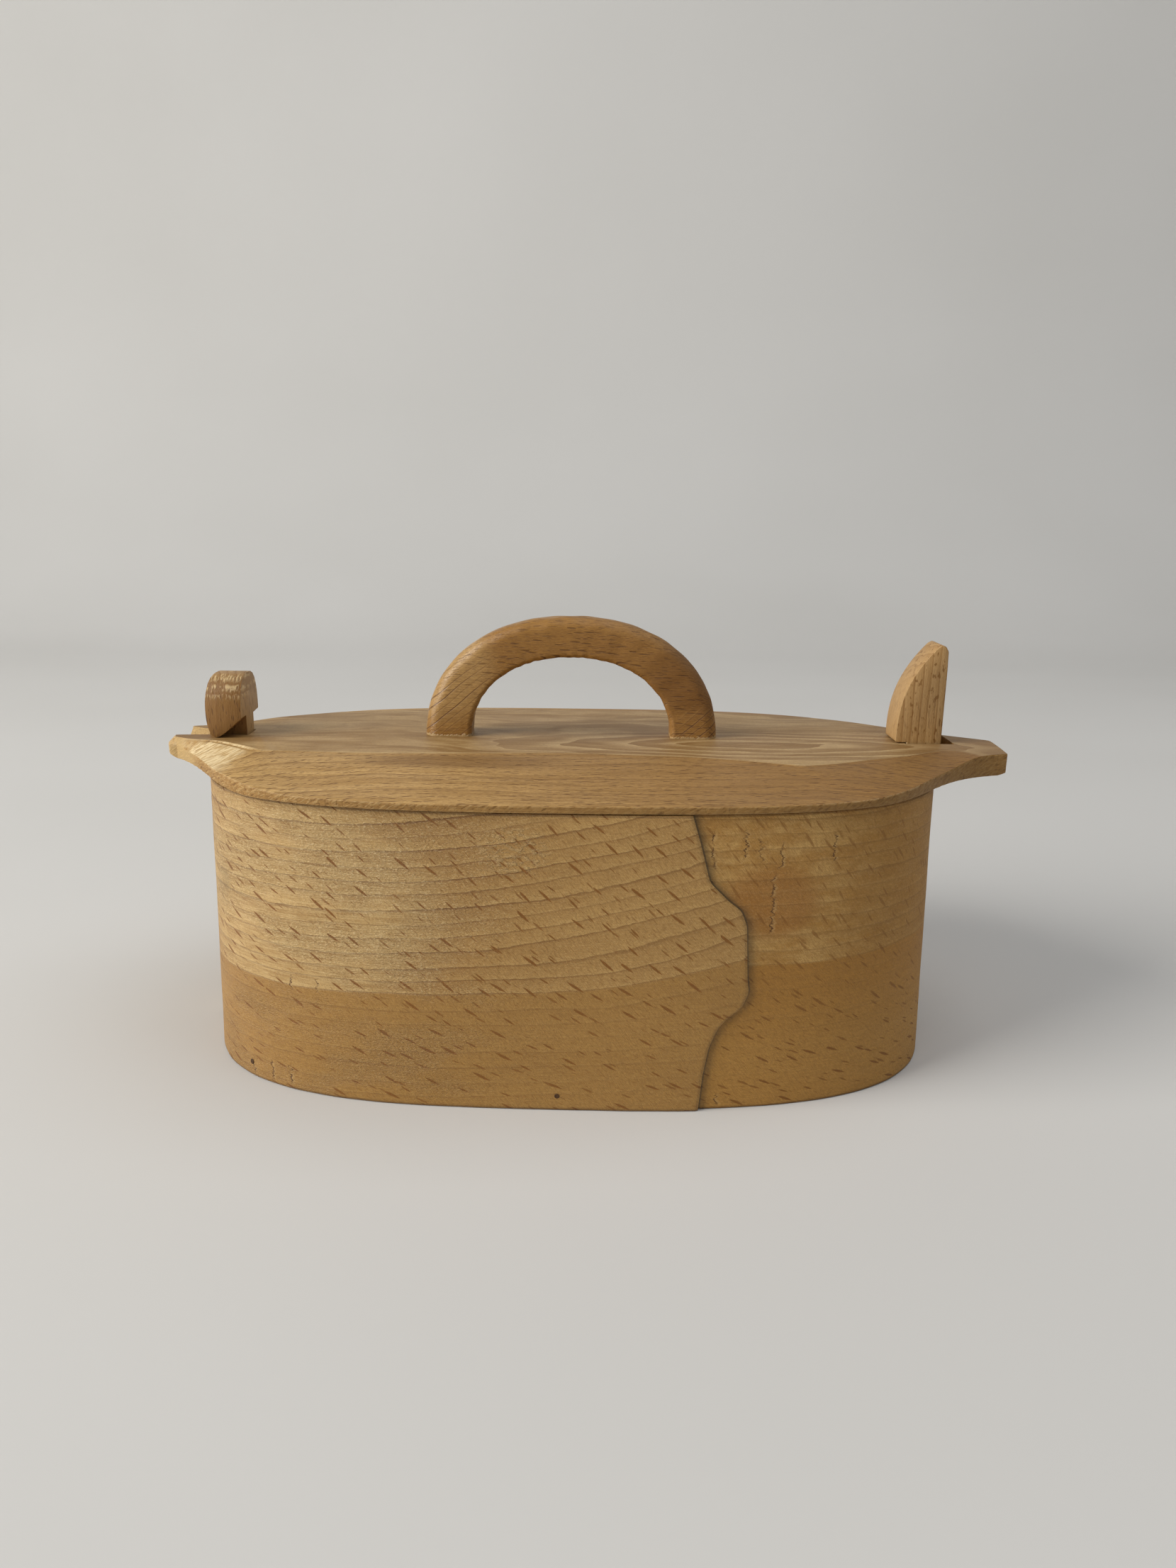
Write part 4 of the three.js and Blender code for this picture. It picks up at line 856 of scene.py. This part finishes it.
# Posts
def keeper_mesh():
    base, foot, inner, top = LID_BASE, HEAD_FOOT, KEEPER_INNER, KEEPER_TOP
    outer = KEEPER_SLAT + 0.8
    w, t, s = KEEPER_HEAD_HALF, KEEPER_STEM_HALF, KEEPER_SLAT_HALF
    slat = [
        (-s, POST_FOOT), (s, POST_FOOT), (s, SHOULDER_LOW), (t, SHOULDER_HIGH),
        (t, base + 3), (-t, base + 3), (-t, SHOULDER_HIGH), (-s, SHOULDER_LOW),
    ]
    slat = prism("slat", [(y + KEEPER_Y, z) for y, z in slat], "x", KEEPER_SLAT, -SLAT_INNER)
    stem_top = foot + 9.7
    stem = [
        (inner, base), (inner, stem_top), (outer + 0.1, stem_top),
        (KEEPER_SLAT, stem_top - 5), (KEEPER_SLAT, base - 2),
        (-SLAT_INNER - FIT, base - 2), (-SLAT_INNER - FIT, base),
    ]
    stem = prism("stem", stem, "y", KEEPER_Y - t, KEEPER_Y + t)
    turn = np.linspace(0, math.pi, 61)
    y, z = super_point(turn, w, top - LID_TOP - 4, 2.9)
    # the top was pared across in narrow cuts
    pared = 0.16 * np.abs(np.sin(turn * 21)) * smoothstep(z, 9, 13)
    arch = np.column_stack([KEEPER_Y + y * (1 - pared / 14), LID_TOP + 4 + z - pared])
    dome = [(KEEPER_Y + w, base), *arch.tolist(), (KEEPER_Y - w, base)]
    dome = prism("dome", dome, "x", outer - 1, inner)
    lip = outer + KEEPER_LIP
    relief = inner - lip
    back = [
        (lip + 0.3, top + 1.9), (lip - 1.5, top - 0.8), (outer + 0.4, top - 4.1),
        (outer, lerp(foot, top, 0.54)), (outer + 0.3, lerp(foot, top, 0.24)),
        (lip - 1.4, foot + 1.3), (lip, foot),
    ]
    under = [
        (lip, foot), (lip + 0.17 * relief, foot + 0.3), (lip + 0.43 * relief, foot + 1.8),
        (inner, foot + KEEPER_RELIEF),
    ]
    block = [
        *spline(back, 26).tolist(), *spline(under, 12)[1:].tolist(),
        (inner + 1, foot + KEEPER_RELIEF + 0.9), (inner + 1, top + 1.9),
    ]
    block = prism("block", block, "y", KEEPER_Y - w - 1, KEEPER_Y + w + 1)
    head = combine(dome, block, "INTERSECT")
    return soften(combine(combine(head, stem, "UNION"), slat, "UNION"), 0.35)


def latch_mesh():
    foot, outer, top = HEAD_FOOT, LATCH_OUTER, LATCH_TOP
    share = np.linspace(0, 1, 41)
    face_x = lerp(LATCH_HOOK, outer - LATCH_CREST, share**2.5)
    face_z = lerp(foot + 0.6, top - 0.7, share)
    outline = [
        (SLAT_INNER, POST_FOOT), (SLAT_INNER, LID_BASE), (LATCH_STEM, LID_BASE),
        (LATCH_STEM, foot), (LATCH_HOOK + 0.3, foot),
        *np.column_stack([face_x, face_z]).tolist(),
        (outer - 2, top), (outer - 0.8, top - 0.4),
        (outer + 0.1, top - 2), (outer + 0.2, top - 8),
        (outer, LID_TOP), (outer - 0.4, LID_BASE + 0.9),
        (LATCH_SLAT + 0.2, SHOULDER_HIGH - 1), (LATCH_SLAT, SHOULDER_LOW), (LATCH_SLAT, POST_FOOT),
    ]
    return soften(prism("latch", outline, "y", LATCH_Y - LATCH_HALF, LATCH_Y + LATCH_HALF), 0.4)


place("keeper", keeper_mesh(), "beech_post", "box", "keeper_post")
place("latch", latch_mesh(), "beech_post", "latch", "latch_post")


# Lid
def oval_y(x):
    """The oval's distance from the centre line."""
    return LID_HALF_Y * (1 - abs(x / LID_HALF_X) ** WALL_POWER) ** (1 / WALL_POWER)


def oval_slope(x):
    """The oval's slope there, across over along."""
    share = abs(x / LID_HALF_X)
    rest = 1 - share**WALL_POWER
    return LID_HALF_Y / LID_HALF_X * share ** (WALL_POWER - 1) * rest ** (1 / WALL_POWER - 1)


def front_edge(x, _):
    """The front edge's thickness."""
    past_fork = (FORK_CROWN, 12.2, 21.8, 29.8, 36.8, 45.4, 52)
    before_ear = (54, 39.4, 25.4, 20.8, 11.7, 6.6)
    knots = [FORK_END + d for d in past_fork] + [EAR_END - d for d in before_ear]
    thick = [
        FORK_EDGE, 3.6, 3.4, 4, 3.6, 2.6, LID_EDGE,
        LID_EDGE, 3.1, 3.9, 4.4, LID_THICKNESS - 0.2, LID_THICKNESS,
    ]
    return sum(np.interp(x + d, knots, thick) for d in (-2, -1, 0, 1, 2)) / 5


def oval_front(x0, x1, thickness):
    turn = np.linspace(math.atan2(-oval_y(x0), x0), math.atan2(-oval_y(x1), x1), 150)
    x, y = super_point(turn, LID_HALF_X, LID_HALF_Y, WALL_POWER)
    return np.column_stack([x, y, thickness(x, 0) + 0 * x])


def ear_side(root_x, root_slope, root_pull, tip, tip_slope, tip_pull, thickness):
    """The side of an ear from the oval to its tip, as (x, y, edge thickness)."""
    way = math.copysign(1, tip[0] - root_x)
    points = [
        (root_x, oval_y(root_x)), (root_x + way * root_pull, oval_y(root_x) - root_pull * root_slope),
        (tip[0] - way * tip_pull, tip[1] + tip_pull * tip_slope), tip,
    ]
    t = np.linspace(0, 1, 61)
    weights = np.stack([(1 - t) ** 3, 3 * t * (1 - t) ** 2, 3 * t**2 * (1 - t), t**3], 1)
    xy = weights @ np.array(points)
    return np.column_stack([xy, thickness(xy[:, 0], t)])


def near(end, way, *rows):
    """Points at distances from an end of the lid."""
    return [(end + way * row[0], *row[1:]) for row in rows]


near_fork = partial(near, FORK_END, 1)
near_ear = partial(near, EAR_END, -1)


def lid_stretches():
    """The lid's edge in stretches, each with the stretch of the ridge that its bevel rises to."""
    mirror = np.array([1, -1, 1])
    thin = LID_EDGE + 1.2
    w, e = FORK_HALF_Y, FORK_EDGE
    fork_tip = FORK_END + FORK_CROWN
    ear_front = ear_side(
        EAR_ROOT_FRONT, oval_slope(EAR_ROOT_FRONT), 20.7, (EAR_END - EAR_CROWN, EAR_FRONT), 0.22, 26.2,
        front_edge,
    )
    ear_back = ear_side(
        EAR_ROOT, 1.25, 12, (EAR_END - 0.8, EAR_BACK), 0.45, 12, lambda x, t: lerp(LID_EDGE, thin, t**2),
    )
    fork_front = ear_side(
        FORK_ROOT_FRONT, oval_slope(FORK_ROOT_FRONT), 15.9, (fork_tip, w), 1, 15.9, front_edge,
    )
    fork_back = ear_side(
        FORK_ROOT, 1.85, 9, (fork_tip, w - 2.5), 1.2, 9,
        lambda x, t: lerp(LID_EDGE, e, smoothstep(t, 0, 0.9)),
    )
    fork_tips = spline(near_fork(
        (FORK_CROWN, w - 2.5, e), (0.8, w - 5.8, e), (0.2, w - 9, e + 0.6), (0, -2.5, e + 1.1),
        (0, 4 - w, e + 1.1), (0.6, 0.8 - w, e + 0.6), (FORK_CROWN, -w, e),
    ), 30)
    y = np.linspace(-EAR_FRONT, EAR_BACK, 30)
    bow = EAR_CROWN * ((y - 2) / (EAR_FRONT + 2)) ** 2
    ear_end = np.column_stack([
        EAR_END - bow, y, lerp(LID_THICKNESS, thin, smoothstep(y, -4, EAR_BACK + 2)),
    ])
    crease = 30  # the point of the fork's front side where the bevel turns
    front = np.concatenate([
        fork_front[1:crease + 1][::-1] * mirror,
        oval_front(FORK_ROOT_FRONT, EAR_ROOT_FRONT, front_edge),
    ])
    back = oval_front(FORK_ROOT, EAR_ROOT, lambda x, _: LID_EDGE)[::-1] * mirror

    front_y = BEVEL_FRONT - LID_HALF_Y
    back_y = LID_HALF_Y - BEVEL_BACK
    crease_x, shoulder_x = 21.8 - LID_HALF_X, LID_HALF_X - 49
    front_ridge = [
        (lerp(crease_x, shoulder_x, share), front_y + dy)
        for share, dy in (
            (0, -1.6), (0.1, -1.7), (0.22, -2.7), (0.36, -1.6), (0.51, 0), (0.62, 0), (0.72, -1.4),
            (0.82, -3.6), (0.91, -8.4), (1, -13.9),
        )
    ]
    back_ridge = [
        ((LID_HALF_X - 33) * share, back_y - 9.2 * abs(share) ** 2.6) for share in np.linspace(1, -1, 9)
    ]
    tip, back_tip = (2.6, 1.4 - w), (3, w - 4.9)
    ear_corner, ear_back_corner = (2.4, 9.4 - EAR_FRONT), (1, -1)
    fork_back_ridge = [(FORK_ROOT - 3.5, 25.5), (FORK_ROOT - 13, 16), (FORK_ROOT - 22, 9.8)]
    return [
        (
            fork_front[crease:][::-1] * mirror,
            [*near_fork(tip, (9, -14.2), (17, -15.8), (25, -20.8)), front_ridge[0]],
        ),
        (front, front_ridge),
        (
            ear_front * mirror,
            [front_ridge[-1], *near_ear((58, -37.8), (47, -32.2), (35, -26.5), (17, -15.8), ear_corner)],
        ),
        (ear_end, near_ear(ear_corner, (1.1, -6), ear_back_corner)),
        (ear_back[::-1], [*near_ear(ear_back_corner, (13, 6.6), (21, 12), (39, 27.7)), back_ridge[0]]),
        (back, back_ridge),
        (fork_back, [back_ridge[-1], *fork_back_ridge, *near_fork(back_tip)]),
        (fork_tips, near_fork(back_tip, (0.8, -2.4), tip)),
    ]


def alongside(edge, control):
    """Points of a curve at the same shares of its length as the edge's points have."""
    line = spline(control, 400)
    run = path_run(edge[:, :2])
    return points_at(line, np.linspace(0, 1, len(line)), run / run[-1])


def rectangle(x0, x1, y0, y1):
    return [(x0, y0), (x1, y0), (x1, y1), (x0, y1)]


def fork_opening():
    """The fork's mouth, which narrows to a throat round the keeper's stem."""
    throat = KEEPER_STEM_HALF + PLAY
    throat_x = FORK_END + MOUTH_DEPTH
    share = np.linspace(1.15, 0, 18)

    def side(wide):
        return np.column_stack([lerp(throat_x, FORK_END, share), throat + (wide - throat) * share**1.4])

    front, back = side(MOUTH_FRONT) * (1, -1), side(MOUTH_BACK)[::-1]
    end = KEEPER_INNER + PLAY
    points = [*front.tolist(), (end, -throat), (end, throat), *back.tolist()]
    return [(x, y + KEEPER_Y) for x, y in points]


def lid_mesh():
    stretches = lid_stretches()
    outline = np.concatenate([edge[:-1] for edge, _ in stretches])
    field = np.concatenate([alongside(edge, ridge)[:-1] for edge, ridge in stretches])
    edge, thickness = outline[:, :2], outline[:, 2]
    inward = field - edge
    inward /= np.linalg.norm(inward, axis=1)[:, None]
    rise = FORK_LIFT * smoothstep(-edge[:, 0], -FORK_END - FORK_CROWN, -FORK_END)
    rise += EAR_LIFT * smoothstep(edge[:, 0], EAR_END - 4, EAR_END)
    high = LID_BASE + thickness
    slope = LID_TOP - high
    # the knife left small flats along the edge
    step = np.hypot(*np.diff(edge, axis=0, append=edge[:1]).T)
    run = np.cumsum(step)
    flats = 0.1 * Waves(5, 9)(run, 0) + 0.07 * Waves(2.2, 9)(run, 0)
    shaved = edge + inward * np.clip(0.1 + flats, 0, 0.3)[:, None]
    shave, fine = Waves(23, 31), Waves(7, 9)
    rows = []

    def row(xy, z):
        rows.append(np.column_stack([xy, z]))

    row(edge * np.where(edge[:, :1] < -100, (0.86, 0.97), (0.97, 0.97)), np.full(len(edge), LID_BASE))
    row(shaved + inward * 0.4, LID_BASE + rise)
    row(shaved + inward * 0.1, LID_BASE + rise + 0.12)
    row(shaved, LID_BASE + rise + 0.4)
    row(edge + (shaved - edge) * 0.4, lerp(LID_BASE + rise, high, 0.6))
    row(edge, high - 0.35)
    row(edge + inward * 0.12, high - 0.1)
    for q in np.concatenate([[0.012], np.linspace(0.04, 1, 30)]):
        xy = edge + (field - edge) * q
        z = lerp(high, LID_TOP, q)
        near_ridge = smoothstep(q, 0.86, 1)
        z = z - 0.2 * near_ridge * (1 - near_ridge) * 4 * np.minimum(1, slope / 3)
        wave = 0.09 * shave(xy[:, 0], xy[:, 1]) + 0.03 * fine(xy[:, 0], xy[:, 1])
        z = z + wave * math.sin(math.pi * q) * np.minimum(1, slope / 2)
        row(xy, np.minimum(z, LID_TOP))
    mesh = skin("lid", rows)

    slot = LATCH_HALF + PLAY
    a, b = TENON_LENGTH / 2 + FIT, TENON_WIDTH / 2 + FIT
    openings = [
        fork_opening(),
        rectangle(LATCH_STEM - PLAY, LATCH_OUTER + SLOT_TRAVEL, LATCH_Y - slot, LATCH_Y + slot),
        *[rectangle(x - a, x + a, HANDLE_Y - b, HANDLE_Y + b) for x in TENON_XS],
    ]
    for opening in openings:
        cutter = prism("opening", opening, "z", LID_BASE - 5, LID_TOP + 5)
        mesh = combine(mesh, cutter, "DIFFERENCE")
    return mesh


place("lid", lid_mesh(), "beech_lid", "lid", "lid_board", sharp=22)


# Handle
def bow_section(deep):
    """The bow's section from its inner face outwards, rounded more on the outside."""
    points = []
    for k, (outer, side) in enumerate(((True, 1), (False, 1), (False, -1), (True, -1))):
        r = HANDLE_OUTER_ROUND if outer else HANDLE_INNER_ROUND
        middle = deep - r if outer else r
        turn = np.radians(np.linspace(90 * k, 90 * k + 90, 13 if outer else 8))
        y = side * (HANDLE_DEPTH / 2 - r)
        points.append(np.column_stack([middle + r * np.cos(turn), y + r * np.sin(turn)]))
    return np.concatenate(points)


def handle_mesh():
    base = LID_TOP + FIT
    carve, nick = Waves(13, 9), Waves(4, 5)
    rows = []
    steps = 170
    for i in range(steps + 1):
        turn = math.pi * (1 - i / steps)
        ox, oz = super_point(turn, HANDLE_OUTER_HALF, handle_high[2] - base, HANDLE_POWER)
        ix, iz = super_point(turn, HANDLE_INNER_HALF, HANDLE_INNER_RISE, HANDLE_POWER)
        deep = math.hypot(ox - ix, oz - iz)
        section = bow_section(deep)
        out = section - (deep / 2, 0)
        round_at = np.arctan2(out[:, 1], out[:, 0])
        out /= np.linalg.norm(out, axis=1)[:, None]
        run = i * 0.8
        inner_arris = smoothstep(-np.cos(round_at), 0.5, 0.8)
        change = 0.14 * carve(run, round_at * 6) + 0.12 * inner_arris * nick(run, round_at * 6) - 0.1
        section = section + out * (np.minimum(change, 0) * min(1, oz / 5))[:, None]
        x = HANDLE_X + ix + (ox - ix) / deep * section[:, 0]
        z = base + iz + (oz - iz) / deep * section[:, 0]
        rows.append(np.column_stack([x, HANDLE_Y + section[:, 1], np.maximum(z, base)]))
    mesh = skin("bow", rows)
    a, b = TENON_LENGTH / 2, TENON_WIDTH / 2
    for x in TENON_XS:
        tenon = rectangle(x - a, x + a, HANDLE_Y - b, HANDLE_Y + b)
        mesh = combine(mesh, prism("tenon", tenon, "z", LID_BASE, base + 3), "UNION")
        low, high = LID_BASE - 1, LID_BASE + 5.42
        kerf = [(x - 0.67, low), (x + 0.67, low), (x + 0.17, high), (x - 0.17, high)]
        kerf = prism("kerf", kerf, "y", HANDLE_Y - b - 1, HANDLE_Y + b + 1)
        mesh = combine(mesh, kerf, "DIFFERENCE")
    return mesh


place("bow", handle_mesh(), "beech_handle", "lid", "handle", sharp=40)

# CAD nodes that stay as they are
for name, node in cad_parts.items():
    if "peg" in name or "wedge" in name:
        slot = "beech_peg"
    elif name == "bottom_board":
        slot = "beech_lid"
    else:
        continue
    node.data.materials.clear()
    node.data.materials.append(MATERIALS[slot])


# Room
def backdrop():
    """A pale floor that turns up into a wall."""
    half, front, back, bend, top = 2600, -2600, 900, 500, 2600
    profile = [(front, 0), (back, 0)]
    for k in range(1, 13):
        a = math.pi / 2 * k / 12
        profile.append((back + bend * math.sin(a), bend * (1 - math.cos(a))))
    profile.append((back + bend, top))
    points = [(x, y, z - 0.05) for y, z in profile for x in (-half, half)]
    return mesh_from("backdrop", points, grid_faces(len(profile), 2))


def cloth_material():
    s = Shader("pale_cloth")
    fold = s.noise(s.object_mm(), (420, 300, 420), 2, 0.5, 5)
    colour = s.mix(fold, (0.6, 0.59, 0.565), (0.68, 0.67, 0.65))
    return s.finish(colour, fold, 0.85, bump=0, specular=0.1)


floor = link("backdrop", backdrop())
floor.data.materials.append(cloth_material())
floor.data.shade_smooth()

# Light
world = bpy.data.worlds.new("room")
bpy.context.scene.world = world
world.use_nodes = True
background = world.node_tree.nodes["Background"].inputs
background["Color"].default_value = (0.93, 0.96, 1, 1)
background["Strength"].default_value = 0.21


def area_light(name, location, size, power, colour):
    data = bpy.data.lights.new(name, "AREA")
    data.shape = "RECTANGLE"
    data.size, data.size_y = size
    data.energy = power
    data.color = colour
    lamp = link(name, data)
    lamp.location = location
    lamp.rotation_euler = (-lamp.location).to_track_quat("-Z", "Y").to_euler()


area_light("window", (-1.7, -0.72, 1.05), (1.2, 1.8), 47, (1, 0.975, 0.93))
area_light("ceiling", (0.75, -0.1, 1.8), (1.6, 1.6), 12, (0.98, 0.985, 1))

# Camera, as in the photograph
CAMERA_AT = (3.75, -382.66, 173.83)
YAW, PITCH, ROLL = 0.0029, 0.2423, 0.0126
FOCAL_PIXELS, IMAGE_HEIGHT = 1662, 2212

data = bpy.data.cameras.new("camera")
data.sensor_width = 36
data.lens = 36 * FOCAL_PIXELS / IMAGE_HEIGHT
data.clip_start, data.clip_end = 0.01, 20
camera = link("camera", data)
ahead = np.array([math.sin(YAW) * math.cos(PITCH), math.cos(YAW) * math.cos(PITCH), -math.sin(PITCH)])
flat_right = np.array([math.cos(YAW), -math.sin(YAW), 0])
flat_up = np.cross(flat_right, ahead)
right = math.cos(ROLL) * flat_right + math.sin(ROLL) * flat_up
up = math.cos(ROLL) * flat_up - math.sin(ROLL) * flat_right
basis = Matrix(np.column_stack([right, up, -ahead]).tolist()).to_4x4()
basis.translation = [v * MM for v in CAMERA_AT]
camera.matrix_world = basis
bpy.context.scene.camera = camera
bpy.context.scene.view_settings.view_transform = "Standard"
